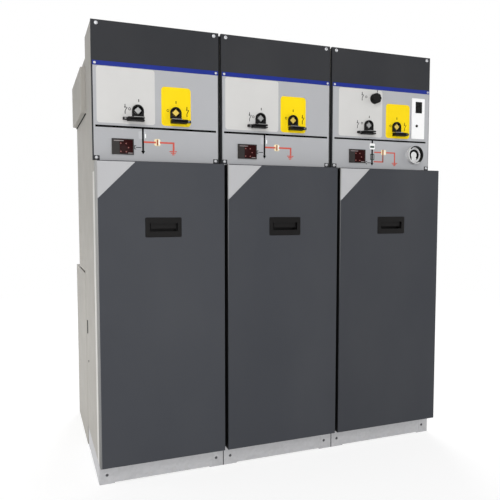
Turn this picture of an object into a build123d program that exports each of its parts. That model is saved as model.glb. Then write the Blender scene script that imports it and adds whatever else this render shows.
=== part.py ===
"""Row of three fully insulated switchgear cubicles: two line units and, at the right, a wider fuse unit.

Millimetres, z up. x runs along the row from the left end, y = 0 is the front plane of the upper covers
with +y to the back, and z = 0 is the floor. Every piece is moved at the end, so that the origin lies on
the floor under the middle of the whole row.
"""
from build123d import *
import os

os.makedirs("parts", exist_ok=True)

# Overall sizes
HEIGHT = 1740.0
UNIT_PITCHES = (500.0, 500.0, 520.0)
UNIT_GAP = 10.0
MECHANISM_DEPTH = 232.0
ROOF_DROP = 4.0
TANK_DEPTH = 468.0
ROW_REAR = 850.0

# Levels above the floor
PLINTH_TOP = 82.0
CABLE_COVER_TOP = 1222.0
MECHANISM_BOTTOM = 1225.0
FRONT_COVER_BOTTOM = 1229.0
DUCT_TOP = 769.0
TANK_BOTTOM = 775.0
TANK_TOP = 1655.0

# Sheet metal
SHEET = 2.0
BEND = 3.0
SEAT_GAP = 0.3
RUNNING_GAP = 0.05
EDGE_BREAK = 1.0

# Plinth: a folded frame on corner feet, with anchor holes
PLINTH_FRONT = -28.0
PLINTH_SHEET = 3.0
PLINTH_FLANGE = 30.0
PLINTH_SEAM = 1.0
FOOT_WIDTH = 58.0
FOOT_PLATE = 5.0
FOOT_RELIEF = 4.0
ANCHOR_HOLE = 14.0
ANCHOR_INSET = 40.0

# Side panels, inner walls and corner posts
FRAME_FRONT = -33.0
WALL_RETURN = 22.0
POST_DEPTH = 52.0
POST_WIDTH = 25.0
POST_TOP = MECHANISM_BOTTOM - 40.0
SLOT_WIDTH = 12.0
SLOT_HEIGHT = 61.0
SLOT_Y = 325.0
SLOT_Z = 541.0

# Rear duct for pressure relief
DUCT_FRONT = 391.0
DUCT_PROUD = 3.0
DUCT_COLLAR_INSET = 40.0
DUCT_RIM = 24.0
DUCT_RIM_PROUD = 5.0
HOUSING_EDGE = 4.0

# Busbar end covers on the outer sides
END_COVER_FRONT = 233.0
END_COVER_REAR = 690.0
END_COVER_BOTTOM = 1435.0
END_COVER_TOP = 1623.0
END_COVER_PROUD = 20.0
END_COVER_FLANGE = 6.0
END_COVER_STEP = 3.0

# Cable compartment covers
CABLE_COVER_FRONT = -78.6
CABLE_COVER_LEFT_GAP = 0.8
CABLE_COVER_RIGHT_GAP = 2.6
TONGUE_INSET = 12.0
TONGUE_HEIGHT = 30.0
TONGUE_REACH = 14.0
TONGUE_LEVELS = (300.0, 1050.0)
TONGUE_SLACK = 1.0

# Recessed pull in each cable compartment cover
PULL_WIDTH = 138.0
PULL_HEIGHT = 74.0
PULL_PROUD = 2.4
PULL_BEVEL = 1.8
PULL_CORNER = 3.0
PULL_CENTRE_FROM_LEFT = 245.6
PULL_CENTRE_Z = 978.5
POCKET_WIDTH = 107.0
POCKET_HEIGHT = 31.0
POCKET_DEPTH = 30.0
POCKET_WALL = 2.5
GRIP_SETBACK = 7.0
GRIP_THICKNESS = 5.0
GRIP_ROUNDING = 2.4
FINGER_GAP = 9.0
GRIP_END_GAP = 6.0
POCKET_RIB = 3.0

# Upper front covers with their mimic panels
FRONT_COVER_RETURN = 15.0
PANEL_THICKNESS = 1.2
PANEL_MARGIN = 4.6
PANEL_TOP = 1575.0
PANEL_HOLE_SIDES = 8
NOTCH_WIDTH = 25.0
NOTCH_HEIGHT = 17.0
STRIP_HEIGHT = 17.0
STRIP_MARGIN = 3.0

# Drive shafts with their arched bezels and lock bars
SHAFT_DROP = 157.0
SHAFT_CENTRE_Z = PANEL_TOP - SHAFT_DROP
SHAFT_SQUARE = 20.5
SHAFT_DIAMETER = 22.0
SHAFT_HEAD_FRONT = -6.0
SHAFT_HEAD_REAR = 10.0
SHAFT_REAR = 150.0
SHAFT_HOLE = 34.0
BEZEL_WIDTH = 44.0
BEZEL_BOTTOM = SHAFT_CENTRE_Z - BEZEL_WIDTH / 2
BEZEL_PROUD = 10.0
BEZEL_CHAMFER = 2.0
BAR_HEIGHT = 13.0
BAR_GAP = 6.0
BAR_BOTTOM = BEZEL_BOTTOM - BAR_GAP - BAR_HEIGHT
BAR_SHORT_SIDE = 21.0
BAR_LONG_SIDE = 57.0
BAR_PROUD = 32.0
BAR_STEP = 16.0
BAR_GROOVE = 4.0
BAR_GROOVE_INSET = 8.0
BAR_CHAMFER = 2.0
LINE_SHAFTS = (168.0, 314.0)
FUSE_SHAFTS = (183.0, 329.0)

# Voltage indicators
INDICATOR_WIDTH = 82.0
INDICATOR_HEIGHT = 59.0
INDICATOR_RISE = 23.0
INDICATOR_BOTTOM = FRONT_COVER_BOTTOM + INDICATOR_RISE
INDICATOR_PROUD = 4.0
INDICATOR_RIM = 3.0
INDICATOR_SINK = 1.5
INDICATOR_LEFTS = (69.0, 69.0, 86.0)

# Selector knob of the fuse unit
KNOB_X = 212.0
KNOB_DROP = 40.0
KNOB_Z = PANEL_TOP - KNOB_DROP
KNOB_DIAMETER = 44.0
KNOB_PROUD = 25.0
KNOB_STEM = 12.0
KNOB_STEM_SLACK = 1.0
KNOB_STEM_REAR = 110.0
KNOB_FLUTES = 8
KNOB_FLUTE_DIAMETER = 7.0
KNOB_EDGE = 2.0
KNOB_LIFT = 0.6

# Control unit of the fuse unit
CONTROL_LEFT = 410.5
CONTROL_WIDTH = 70.5
CONTROL_HEIGHT = 182.6
CONTROL_DROP = 22.4
CONTROL_BOTTOM = PANEL_TOP - CONTROL_DROP - CONTROL_HEIGHT
CONTROL_THICKNESS = 3.0
CONTROL_CORNER = 4.0
SCREEN_LEFT = 430.5
SCREEN_WIDTH = 34.0
SCREEN_RISE = 116.5
SCREEN_BOTTOM = CONTROL_BOTTOM + SCREEN_RISE
SCREEN_HEIGHT = 50.0
SCREEN_PROUD = 1.5
BUTTON_X = 437.5
BUTTON_RISE = 58.0
BUTTON_Z = CONTROL_BOTTOM + BUTTON_RISE
BUTTON_DIAMETER = 12.0
BUTTON_PROUD = 3.0

# Pressure gauge of the fuse unit
GAUGE_X = 425.0
GAUGE_RISE = 67.0
GAUGE_Z = FRONT_COVER_BOTTOM + GAUGE_RISE
GAUGE_DIAMETER = 80.0
GAUGE_WALL = 4.0
GAUGE_PROUD = 21.0
DIAL_THICKNESS = 3.0
DIAL_RING = 50.0
DIAL_RING_WALL = 4.0
DIAL_RING_PROUD = 3.0
DIAL_RING_MOUTH = 26.0

# Inside of the cable compartments
BUSHING_SPACING = 130.0
BUSHING_Z = 900.0
BUSHING_FLANGE = 104.0
BUSHING_FLANGE_CORNER = 14.0
BUSHING_FLANGE_THICKNESS = 12.0
BUSHING_ROOT = 70.0
BUSHING_TIP = 56.0
BUSHING_HOLLOW = 1.5
BUSHING_LENGTH = 95.0
BUSHING_STUD = 18.0
BUSHING_STUD_LENGTH = 18.0
RAIL_Z = 420.0
RAIL_Y = 200.0
RAIL_SIZE = 40.0
RAIL_MOUTH = 18.0
EARTH_BAR_Z = 130.0
EARTH_BAR_HEIGHT = 40.0
EARTH_BAR_THICKNESS = 6.0
EARTH_BAR_STANDOFF = 12.0
EARTH_BAR_BLOCK = 30.0
EARTH_BAR_SLACK = 4.0

# Worked-out places
UNITS = range(len(UNIT_PITCHES))
LAST = UNITS[-1]
LEFTS = [sum(UNIT_PITCHES[:unit]) for unit in UNITS]
RIGHTS = [LEFTS[unit] + UNIT_PITCHES[unit] - UNIT_GAP for unit in UNITS]
ROW_LENGTH = RIGHTS[-1]
TANK_REAR = MECHANISM_DEPTH + TANK_DEPTH
PANEL_FACE = -PANEL_THICKNESS
ROW_FRONT = CABLE_COVER_FRONT - PULL_PROUD
TO_ORIGIN = Pos(-ROW_LENGTH / 2, -(ROW_FRONT + ROW_REAR) / 2, 0)


def box(x0, x1, y0, y1, z0, z1):
    """A block between two corners."""
    return Pos((x0 + x1) / 2, (y0 + y1) / 2, (z0 + z1) / 2) * Box(x1 - x0, y1 - y0, z1 - z0)


def rect(x0, x1, z0, z1, corner=0.0):
    """A rectangle in the upright plane of the fronts."""
    outline = RectangleRounded(x1 - x0, z1 - z0, corner) if corner else Rectangle(x1 - x0, z1 - z0)
    return Pos((x0 + x1) / 2, (z0 + z1) / 2) * outline


def plate(outline, y_front, y_back):
    """An outline in the front plane, made solid from y_front to y_back."""
    return extrude(Plane.XZ.offset(-y_back) * outline, y_back - y_front)


def disc(x, z, diameter, y_front, y_back):
    """A round bar along y."""
    return plate(Pos(x, z) * Circle(diameter / 2), y_front, y_back)


def front_edges(solid):
    """The edges round the foremost face."""
    return solid.faces().sort_by(Axis.Y)[0].edges()


def tray(x0, x1, z0, z1, y_front, depth):
    """A folded sheet tray, open at the back."""
    y_back = y_front + depth
    outer = plate(rect(x0, x1, z0, z1), y_front, y_back)
    outer = fillet(front_edges(outer), BEND)
    hollow = plate(rect(x0 + SHEET, x1 - SHEET, z0 + SHEET, z1 - SHEET), y_front + SHEET, y_back)
    return outer - hollow


def side_sheet(x_outer, inward, points):
    """A side wall with its edges folded inward, from its outline in y and z."""
    outline = Polygon(*points, align=None)
    inner = offset(outline, -SHEET, kind=Kind.INTERSECTION)
    towards_inside = (inward, 0, 0)
    solid = extrude(Plane.YZ.offset(x_outer) * outline, WALL_RETURN, dir=towards_inside)
    cavity = extrude(Plane.YZ.offset(x_outer + inward * SHEET) * inner, WALL_RETURN, dir=towards_inside)
    return solid - cavity


def tongue_xs(unit):
    """The outer faces of a cover's two rows of tongues."""
    left, right = cover_sides(unit)
    return left + TONGUE_INSET, right - TONGUE_INSET - SHEET


def cover_sides(unit):
    """The left and right edge of a cable compartment cover."""
    return LEFTS[unit] + CABLE_COVER_LEFT_GAP, RIGHTS[unit] - CABLE_COVER_RIGHT_GAP


def tongue_slots(unit):
    """The slots in the frame that a cover's tongues enter."""
    slots = Part()
    for x in tongue_xs(unit):
        for z in TONGUE_LEVELS:
            half = TONGUE_HEIGHT / 2 + TONGUE_SLACK
            slots += box(x - TONGUE_SLACK, x + SHEET + TONGUE_SLACK, FRAME_FRONT - 1, FRAME_FRONT + SHEET + 1,
                         z - half, z + half)
    return slots


def shafts(unit):
    """The places of a unit's two drive shafts along the row."""
    return [LEFTS[unit] + x for x in (FUSE_SHAFTS if unit == LAST else LINE_SHAFTS)]


def plinth(unit):
    """The folded floor frame of one unit, on four corner feet with anchor holes."""
    x0 = 0.0 if unit == 0 else LEFTS[unit] - (UNIT_GAP - PLINTH_SEAM) / 2
    x1 = ROW_LENGTH if unit == LAST else RIGHTS[unit] + (UNIT_GAP - PLINTH_SEAM) / 2
    y0 = PLINTH_FRONT
    y1 = DUCT_FRONT - SEAT_GAP
    wall = PLINTH_SHEET
    lip = PLINTH_FLANGE
    frame = box(x0, x1, y0, y1, 0, PLINTH_TOP)
    frame -= box(x0 + wall, x1 - wall, y0 + wall, y1 - wall, -1, PLINTH_TOP - wall)
    frame -= box(x0 + lip, x1 - lip, y0 + lip, y1 - lip, 0, PLINTH_TOP + 1)
    frame -= box(x0 + FOOT_WIDTH, x1 - FOOT_WIDTH, y0 - 1, y1 + 1, -1, FOOT_RELIEF)
    frame -= box(x0 - 1, x1 + 1, y0 + FOOT_WIDTH, y1 - FOOT_WIDTH, -1, FOOT_RELIEF)
    for x, towards_x in ((x0, 1), (x1, -1)):
        for y, towards_y in ((y0, 1), (y1, -1)):
            foot = Box(FOOT_WIDTH, FOOT_WIDTH, FOOT_PLATE, align=(Align.CENTER, Align.CENTER, Align.MIN))
            frame += Pos(x + towards_x * FOOT_WIDTH / 2, y + towards_y * FOOT_WIDTH / 2, 0) * foot
            hole = Cylinder(ANCHOR_HOLE / 2, 4 * FOOT_PLATE)
            frame -= Pos(x + towards_x * ANCHOR_INSET, y + towards_y * ANCHOR_INSET, 0) * hole
    return frame


def side_panel(right_side):
    """The outer side panel, which closes the compartment and covers the tank's side."""
    x_outer, inward, unit = (ROW_LENGTH, -1, LAST) if right_side else (0.0, 1, 0)
    post_back = FRAME_FRONT + POST_DEPTH + SEAT_GAP
    points = [
        (post_back, PLINTH_TOP),
        (post_back, POST_TOP + SEAT_GAP),
        (FRAME_FRONT, POST_TOP + SEAT_GAP),
        (FRAME_FRONT, MECHANISM_BOTTOM),
        (MECHANISM_DEPTH + SEAT_GAP, MECHANISM_BOTTOM),
        (MECHANISM_DEPTH + SEAT_GAP, TANK_TOP),
        (TANK_REAR, TANK_TOP),
        (TANK_REAR, TANK_BOTTOM),
        (DUCT_FRONT - SEAT_GAP, TANK_BOTTOM),
        (DUCT_FRONT - SEAT_GAP, PLINTH_TOP),
    ]
    panel = side_sheet(x_outer, inward, points)
    slot = Pos(SLOT_Y, SLOT_Z) * SlotOverall(SLOT_HEIGHT, SLOT_WIDTH, rotation=90)
    return panel - extrude(Plane.YZ.offset(x_outer) * slot, SHEET * 2, both=True)


def corner_post(right_side):
    """The outer front post, a channel with slots for the cover's tongues."""
    unit = LAST if right_side else 0
    post = box(0, POST_WIDTH, FRAME_FRONT, FRAME_FRONT + POST_DEPTH, PLINTH_TOP, POST_TOP)
    edge = post.edges().filter_by(Axis.Z).group_by(Axis.X)[0]
    post = fillet(edge, BEND)
    post -= box(SHEET, POST_WIDTH + 1, FRAME_FRONT + SHEET, FRAME_FRONT + POST_DEPTH - SHEET,
                PLINTH_TOP - 1, POST_TOP + 1)
    if right_side:
        post = Pos(ROW_LENGTH, 0, 0) * mirror(post, about=Plane.YZ)
    return post - tongue_slots(unit)


def inner_wall(unit, right_side):
    """The wall between a unit's cable compartment and the next unit's."""
    x_outer, inward = (RIGHTS[unit], -1) if right_side else (LEFTS[unit], 1)
    points = [
        (FRAME_FRONT, PLINTH_TOP),
        (FRAME_FRONT, MECHANISM_BOTTOM),
        (MECHANISM_DEPTH - SEAT_GAP, MECHANISM_BOTTOM),
        (MECHANISM_DEPTH - SEAT_GAP, TANK_BOTTOM),
        (DUCT_FRONT - SEAT_GAP, TANK_BOTTOM),
        (DUCT_FRONT - SEAT_GAP, PLINTH_TOP),
    ]
    wall = side_sheet(x_outer, inward, points)
    wall -= tongue_slots(unit)
    slack = EARTH_BAR_SLACK
    y1 = DUCT_FRONT - EARTH_BAR_STANDOFF
    window = box(x_outer - SHEET * 2, x_outer + SHEET * 2, y1 - EARTH_BAR_THICKNESS - slack, y1 + slack,
                 EARTH_BAR_Z - slack, EARTH_BAR_Z + EARTH_BAR_HEIGHT + slack)
    return wall - window


def tank(unit):
    """The sealed tank of one unit, a closed welded housing."""
    beside_panel = WALL_RETURN + SHEET
    x0 = LEFTS[unit] + (beside_panel if unit == 0 else 0)
    x1 = RIGHTS[unit] - (beside_panel if unit == LAST else 0)
    solid = box(x0, x1, MECHANISM_DEPTH, TANK_REAR, TANK_BOTTOM, TANK_TOP)
    return chamfer(solid.edges().filter_by(Axis.Z).group_by(Axis.Y)[-1], HOUSING_EDGE)


def rear_duct(unit):
    """The closed duct behind the cable compartment, with the collar that carries the tank."""
    x0 = LEFTS[unit] - (DUCT_PROUD if unit == 0 else 0)
    x1 = RIGHTS[unit] + (DUCT_PROUD if unit == LAST else 0)
    solid = box(x0, x1, DUCT_FRONT, ROW_REAR, 0, DUCT_TOP)
    solid = chamfer(solid.edges().filter_by(Axis.Z).group_by(Axis.Y)[-1], HOUSING_EDGE)
    rim = DUCT_RIM
    solid -= box(x0 + rim, x1 - rim, ROW_REAR - DUCT_RIM_PROUD, ROW_REAR + 1, rim, DUCT_TOP - rim)
    inset = DUCT_COLLAR_INSET
    collar = box(x0 + inset, x1 - inset, DUCT_FRONT + inset, TANK_REAR - inset, DUCT_TOP, TANK_BOTTOM)
    return solid + collar


def mechanism_box(unit):
    """The closed housing of the drives, with the bearings of its shafts."""
    x0 = LEFTS[unit]
    x1 = RIGHTS[unit]
    solid = box(x0, x1, FRONT_COVER_RETURN, MECHANISM_DEPTH, MECHANISM_BOTTOM, HEIGHT - ROOF_DROP)
    for x in shafts(unit):
        bore = SHAFT_DIAMETER + 2 * RUNNING_GAP
        solid -= disc(x, SHAFT_CENTRE_Z, bore, 0, SHAFT_REAR + SHEET)
    if unit == LAST:
        bore = KNOB_STEM + 2 * RUNNING_GAP
        solid -= disc(x0 + KNOB_X, KNOB_Z, bore, 0, KNOB_STEM_REAR + SHEET)
    return solid


def shaft_holes(unit, y_front, y_back):
    """The cut-outs behind the bezels that a unit's shafts and knob stem pass through."""
    holes = Part()
    for x in shafts(unit):
        cutout = Pos(x, SHAFT_CENTRE_Z) * RegularPolygon(SHAFT_HOLE / 2, PANEL_HOLE_SIDES, major_radius=False)
        holes += plate(cutout, y_front, y_back)
    if unit == LAST:
        holes += disc(LEFTS[unit] + KNOB_X, KNOB_Z, KNOB_STEM + 2 * KNOB_STEM_SLACK, y_front, y_back)
    return holes


def front_cover(unit):
    """The dark folded cover of the drive housing."""
    cover = tray(LEFTS[unit], RIGHTS[unit], FRONT_COVER_BOTTOM, HEIGHT, 0, FRONT_COVER_RETURN)
    return cover - shaft_holes(unit, -1, FRONT_COVER_RETURN)


def mimic_panel(unit):
    """The pale plate with the circuit diagram, notched at its lower corners for two screws."""
    x0 = LEFTS[unit] + PANEL_MARGIN
    x1 = RIGHTS[unit] - PANEL_MARGIN
    outline = rect(x0, x1, FRONT_COVER_BOTTOM, PANEL_TOP)
    reach = NOTCH_WIDTH - PANEL_MARGIN
    top = FRONT_COVER_BOTTOM + NOTCH_HEIGHT
    outline -= rect(x0 - 1, x0 + reach, FRONT_COVER_BOTTOM - 1, top)
    outline -= rect(x1 - reach, x1 + 1, FRONT_COVER_BOTTOM - 1, top)
    return plate(outline, PANEL_FACE, 0) - shaft_holes(unit, PANEL_FACE - 1, 1)


def colour_strip(unit):
    """The coloured strip above the mimic panel."""
    x0 = LEFTS[unit] + STRIP_MARGIN
    x1 = RIGHTS[unit] - STRIP_MARGIN
    return plate(rect(x0, x1, PANEL_TOP + SEAT_GAP, PANEL_TOP + STRIP_HEIGHT), PANEL_FACE, 0)


def drive_bezel(x):
    """The arched surround of one drive shaft."""
    radius = BEZEL_WIDTH / 2
    outline = Pos(x, SHAFT_CENTRE_Z) * Circle(radius)
    outline += rect(x - radius, x + radius, BEZEL_BOTTOM, SHAFT_CENTRE_Z)
    y_front = PANEL_FACE - BEZEL_PROUD
    solid = plate(outline, y_front, PANEL_FACE)
    solid = chamfer(front_edges(solid), BEZEL_CHAMFER)
    return solid - disc(x, SHAFT_CENTRE_Z, SHAFT_HOLE, y_front - 1, 0)


def drive_shaft(x):
    """One drive shaft: a square head, standing on its corner, on a round spindle."""
    outline = Pos(x, SHAFT_CENTRE_Z) * Rectangle(SHAFT_SQUARE, SHAFT_SQUARE, rotation=45)
    head = plate(outline, SHAFT_HEAD_FRONT, SHAFT_HEAD_REAR)
    head = chamfer(front_edges(head), EDGE_BREAK)
    return head + disc(x, SHAFT_CENTRE_Z, SHAFT_DIAMETER, SHAFT_HEAD_REAR, SHAFT_REAR)


def lock_bar(x, long_side):
    """The padlock bar under a shaft; long_side is -1 where it reaches to the left and 1 to the right."""
    near = x - long_side * BAR_SHORT_SIDE
    far = x + long_side * BAR_LONG_SIDE
    step = far - long_side * BAR_STEP
    y_front = PANEL_FACE - BAR_PROUD
    top = BAR_BOTTOM + BAR_HEIGHT
    body = box(min(near, step), max(near, step), y_front, PANEL_FACE, BAR_BOTTOM, top)
    body = chamfer(body.edges().filter_by(Axis.Z), BAR_CHAMFER)
    middle = (BAR_BOTTOM + top) / 2
    body -= box(min(near, step) + BAR_GROOVE_INSET, max(near, step) + 1, y_front - 1, PANEL_FACE - BAR_GROOVE,
                middle - BAR_GROOVE / 2, middle + BAR_GROOVE / 2)
    nose = box(min(step, far), max(step, far), y_front + BAR_STEP, PANEL_FACE, BAR_BOTTOM + BAR_GROOVE, top)
    return body + nose


def voltage_indicator(unit):
    """The voltage presence indicator, with its face sunk behind a rim."""
    x0 = LEFTS[unit] + INDICATOR_LEFTS[unit]
    x1 = x0 + INDICATOR_WIDTH
    z0 = INDICATOR_BOTTOM
    z1 = z0 + INDICATOR_HEIGHT
    y_front = PANEL_FACE - INDICATOR_PROUD
    solid = plate(rect(x0, x1, z0, z1), y_front, PANEL_FACE)
    rim = INDICATOR_RIM
    return solid - plate(rect(x0 + rim, x1 - rim, z0 + rim, z1 - rim), y_front - 1, y_front + INDICATOR_SINK)


def selector_knob():
    """The fluted selector knob on its stem."""
    x = LEFTS[LAST] + KNOB_X
    y_back = PANEL_FACE - KNOB_LIFT
    y_front = PANEL_FACE - KNOB_PROUD
    knob = disc(x, KNOB_Z, KNOB_DIAMETER, y_front, y_back)
    knob = chamfer(front_edges(knob), KNOB_EDGE)
    for flute in PolarLocations(KNOB_DIAMETER / 2, KNOB_FLUTES, 180 / KNOB_FLUTES):
        spot = flute.position
        knob -= disc(x + spot.X, KNOB_Z + spot.Y, KNOB_FLUTE_DIAMETER, y_front - 1, y_back - 2 * KNOB_EDGE)
    return knob + disc(x, KNOB_Z, KNOB_STEM, y_back, KNOB_STEM_REAR)


def control_plate():
    """The white front plate of the control unit."""
    x0 = LEFTS[LAST] + CONTROL_LEFT
    outline = rect(x0, x0 + CONTROL_WIDTH, CONTROL_BOTTOM, CONTROL_BOTTOM + CONTROL_HEIGHT, CONTROL_CORNER)
    y_front = PANEL_FACE - CONTROL_THICKNESS
    solid = plate(outline, y_front, PANEL_FACE)
    return chamfer(front_edges(solid), EDGE_BREAK)


def control_screen():
    """The dark screen and the push button on the control unit's plate."""
    x0 = LEFTS[LAST] + SCREEN_LEFT
    y_back = PANEL_FACE - CONTROL_THICKNESS
    outline = rect(x0, x0 + SCREEN_WIDTH, SCREEN_BOTTOM, SCREEN_BOTTOM + SCREEN_HEIGHT)
    screen = plate(outline, y_back - SCREEN_PROUD, y_back)
    button = disc(LEFTS[LAST] + BUTTON_X, BUTTON_Z, BUTTON_DIAMETER, y_back - BUTTON_PROUD, y_back)
    return screen + chamfer(front_edges(button), EDGE_BREAK)


def gauge_collar():
    """The collar round the pressure gauge."""
    x = LEFTS[LAST] + GAUGE_X
    y_front = PANEL_FACE - GAUGE_PROUD
    collar = disc(x, GAUGE_Z, GAUGE_DIAMETER, y_front, PANEL_FACE)
    collar = chamfer(front_edges(collar), EDGE_BREAK)
    return collar - disc(x, GAUGE_Z, GAUGE_DIAMETER - 2 * GAUGE_WALL, y_front - 1, 0)


def gauge_dial():
    """The gauge's dial, with a raised ring that is open at the bottom."""
    x = LEFTS[LAST] + GAUGE_X
    inside = GAUGE_DIAMETER - 2 * GAUGE_WALL - 2 * SEAT_GAP
    y_face = PANEL_FACE - DIAL_THICKNESS
    dial = disc(x, GAUGE_Z, inside, y_face, PANEL_FACE)
    ring = Circle(DIAL_RING / 2) - Circle(DIAL_RING / 2 - DIAL_RING_WALL)
    ring -= Pos(0, -DIAL_RING / 2) * Rectangle(DIAL_RING_MOUTH, DIAL_RING / 2)
    return dial + plate(Pos(x, GAUGE_Z) * ring, y_face - DIAL_RING_PROUD, y_face)


def pull_middle(unit):
    """The middle of the recessed pull along the row."""
    left, right = cover_sides(unit)
    return left + PULL_CENTRE_FROM_LEFT - CABLE_COVER_LEFT_GAP + (UNIT_PITCHES[unit] - UNIT_PITCHES[0]) / 2


def pocket_outside(unit, slack):
    """The outline of the pull's pocket with its walls, made larger by a slack."""
    x = pull_middle(unit)
    half_width = POCKET_WIDTH / 2 + POCKET_WALL + slack
    half_height = POCKET_HEIGHT / 2 + POCKET_WALL + slack
    return rect(x - half_width, x + half_width, PULL_CENTRE_Z - half_height, PULL_CENTRE_Z + half_height)


def cable_cover(unit):
    """The folded cover of one cable compartment, with a window for its pull and four tongues."""
    left, right = cover_sides(unit)
    depth = FRAME_FRONT - SEAT_GAP - CABLE_COVER_FRONT
    cover = tray(left, right, PLINTH_TOP, CABLE_COVER_TOP, CABLE_COVER_FRONT, depth)
    cover -= plate(pocket_outside(unit, SEAT_GAP), CABLE_COVER_FRONT - 1, CABLE_COVER_FRONT + SHEET + 1)
    for x in tongue_xs(unit):
        for z in TONGUE_LEVELS:
            cover += box(x, x + SHEET, CABLE_COVER_FRONT + SHEET, FRAME_FRONT + TONGUE_REACH,
                         z - TONGUE_HEIGHT / 2, z + TONGUE_HEIGHT / 2)
    return cover


def recessed_pull(unit):
    """The pull: a bevelled frame, a pocket behind it and a grip that hangs from the pocket's top."""
    x = pull_middle(unit)
    z = PULL_CENTRE_Z
    y_front = CABLE_COVER_FRONT - PULL_PROUD
    y_rear = y_front + POCKET_DEPTH
    frame = plate(rect(x - PULL_WIDTH / 2, x + PULL_WIDTH / 2, z - PULL_HEIGHT / 2, z + PULL_HEIGHT / 2),
                  y_front, CABLE_COVER_FRONT)
    frame = chamfer(frame.edges().filter_by(Axis.Y), PULL_CORNER)
    frame = chamfer(front_edges(frame), PULL_BEVEL)
    frame += plate(pocket_outside(unit, 0), CABLE_COVER_FRONT, y_rear + POCKET_WALL)
    x0 = x - POCKET_WIDTH / 2
    x1 = x + POCKET_WIDTH / 2
    z0 = z - POCKET_HEIGHT / 2
    z1 = z + POCKET_HEIGHT / 2
    frame -= box(x0, x1, y_front - 1, y_rear, z0, z1)
    grip_front = y_front + GRIP_SETBACK
    grip_back = grip_front + GRIP_THICKNESS
    grip = box(x0 + GRIP_END_GAP, x1 - GRIP_END_GAP, grip_front, grip_back, z0 + FINGER_GAP, z1)
    grip = fillet(grip.edges().filter_by(Axis.X).group_by(Axis.Z)[0], GRIP_ROUNDING)
    for end in (x0 + GRIP_END_GAP / 2, x1 - GRIP_END_GAP / 2):
        grip += box(end - POCKET_RIB / 2, end + POCKET_RIB / 2, grip_back, y_rear, z0, z1)
    return frame + grip


def end_cover(right_side):
    """The cover of the busbar ends on an outer side: a flange and a raised, bevelled housing."""
    y0 = END_COVER_FRONT
    y1 = END_COVER_REAR
    z0 = END_COVER_BOTTOM
    z1 = END_COVER_TOP
    step = END_COVER_STEP
    flange = box(-END_COVER_FLANGE, 0, y0, y1, z0, z1)
    housing = box(-END_COVER_PROUD, -END_COVER_FLANGE, y0 + step, y1 - step, z0 + step, z1 - step)
    housing = fillet(housing.faces().sort_by(Axis.X)[0].edges(), BEND)
    cover = flange + housing
    return Pos(ROW_LENGTH, 0, 0) * mirror(cover, about=Plane.YZ) if right_side else cover


def bushing(x):
    """One bushing on the tank's front wall: a flange, a tapered resin body and a hexagon stud."""
    y_wall = MECHANISM_DEPTH
    y_flange = y_wall - BUSHING_FLANGE_THICKNESS
    y_tip = y_flange - BUSHING_LENGTH
    root = BUSHING_ROOT / 2
    tip = BUSHING_TIP / 2
    waist = ((root + tip) / 2 - BUSHING_HOLLOW, (y_flange + y_tip) / 2)
    side = Bezier((root, y_flange), waist, (tip, y_tip))
    core = Polyline((tip, y_tip), (0, y_tip), (0, y_flange), (root, y_flange))
    body = Pos(x, 0, BUSHING_Z) * revolve(make_face(side + core), Axis.Y)
    square = chamfer(Rectangle(BUSHING_FLANGE, BUSHING_FLANGE).vertices(), BUSHING_FLANGE_CORNER)
    flange = plate(Pos(x, BUSHING_Z) * square, y_flange, y_wall)
    hexagon = Pos(x, BUSHING_Z) * RegularPolygon(BUSHING_STUD / 2, 6, major_radius=False)
    return flange + body + plate(hexagon, y_tip - BUSHING_STUD_LENGTH, y_tip)


def bushings(unit):
    """The three bushings of one unit."""
    middle = (LEFTS[unit] + RIGHTS[unit]) / 2
    return [bushing(middle + phase * BUSHING_SPACING) for phase in (-1, 0, 1)]


def cable_rail(unit):
    """The slotted rail that the cables are clamped to, from wall to wall."""
    x0 = LEFTS[unit] + SHEET
    x1 = RIGHTS[unit] - SHEET
    rail = box(x0, x1, RAIL_Y, RAIL_Y + RAIL_SIZE, RAIL_Z, RAIL_Z + RAIL_SIZE)
    rail -= box(x0 - 1, x1 + 1, RAIL_Y + SHEET, RAIL_Y + RAIL_SIZE - SHEET,
                RAIL_Z + SHEET, RAIL_Z + RAIL_SIZE - SHEET)
    middle = RAIL_Z + RAIL_SIZE / 2
    return rail - box(x0 - 1, x1 + 1, RAIL_Y - 1, RAIL_Y + SHEET + 1,
                      middle - RAIL_MOUTH / 2, middle + RAIL_MOUTH / 2)


def earth_bar():
    """The copper earth bar along the row, on blocks against the rear wall of the compartments."""
    y1 = DUCT_FRONT - EARTH_BAR_STANDOFF
    x0 = SHEET + WALL_RETURN
    bar = box(x0, ROW_LENGTH - x0, y1 - EARTH_BAR_THICKNESS, y1, EARTH_BAR_Z, EARTH_BAR_Z + EARTH_BAR_HEIGHT)
    for unit in UNITS:
        middle = (LEFTS[unit] + RIGHTS[unit]) / 2
        half = EARTH_BAR_BLOCK / 2
        bar += box(middle - half, middle + half, y1, DUCT_FRONT, EARTH_BAR_Z, EARTH_BAR_Z + EARTH_BAR_HEIGHT)
    return bar


def save(name, *solids):
    """Writes one node, moved so that the origin is on the floor under the row's middle."""
    placed = [TO_ORIGIN * solid for solid in solids]
    export_step(placed[0] if len(placed) == 1 else Compound(children=placed), f"parts/{name}.step")


for unit in UNITS:
    number = unit + 1
    save(f"plinth_{number}", plinth(unit))
    save(f"mechanism_box_{number}", mechanism_box(unit))
    save(f"front_cover_{number}", front_cover(unit))
    save(f"mimic_panel_{number}", mimic_panel(unit))
    save(f"cable_cover_{number}", cable_cover(unit))
    save(f"recessed_pull_{number}", recessed_pull(unit))
    for name, x in zip(("line_shaft", "earth_shaft"), shafts(unit)):
        save(f"{name}_{number}", drive_shaft(x))

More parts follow.
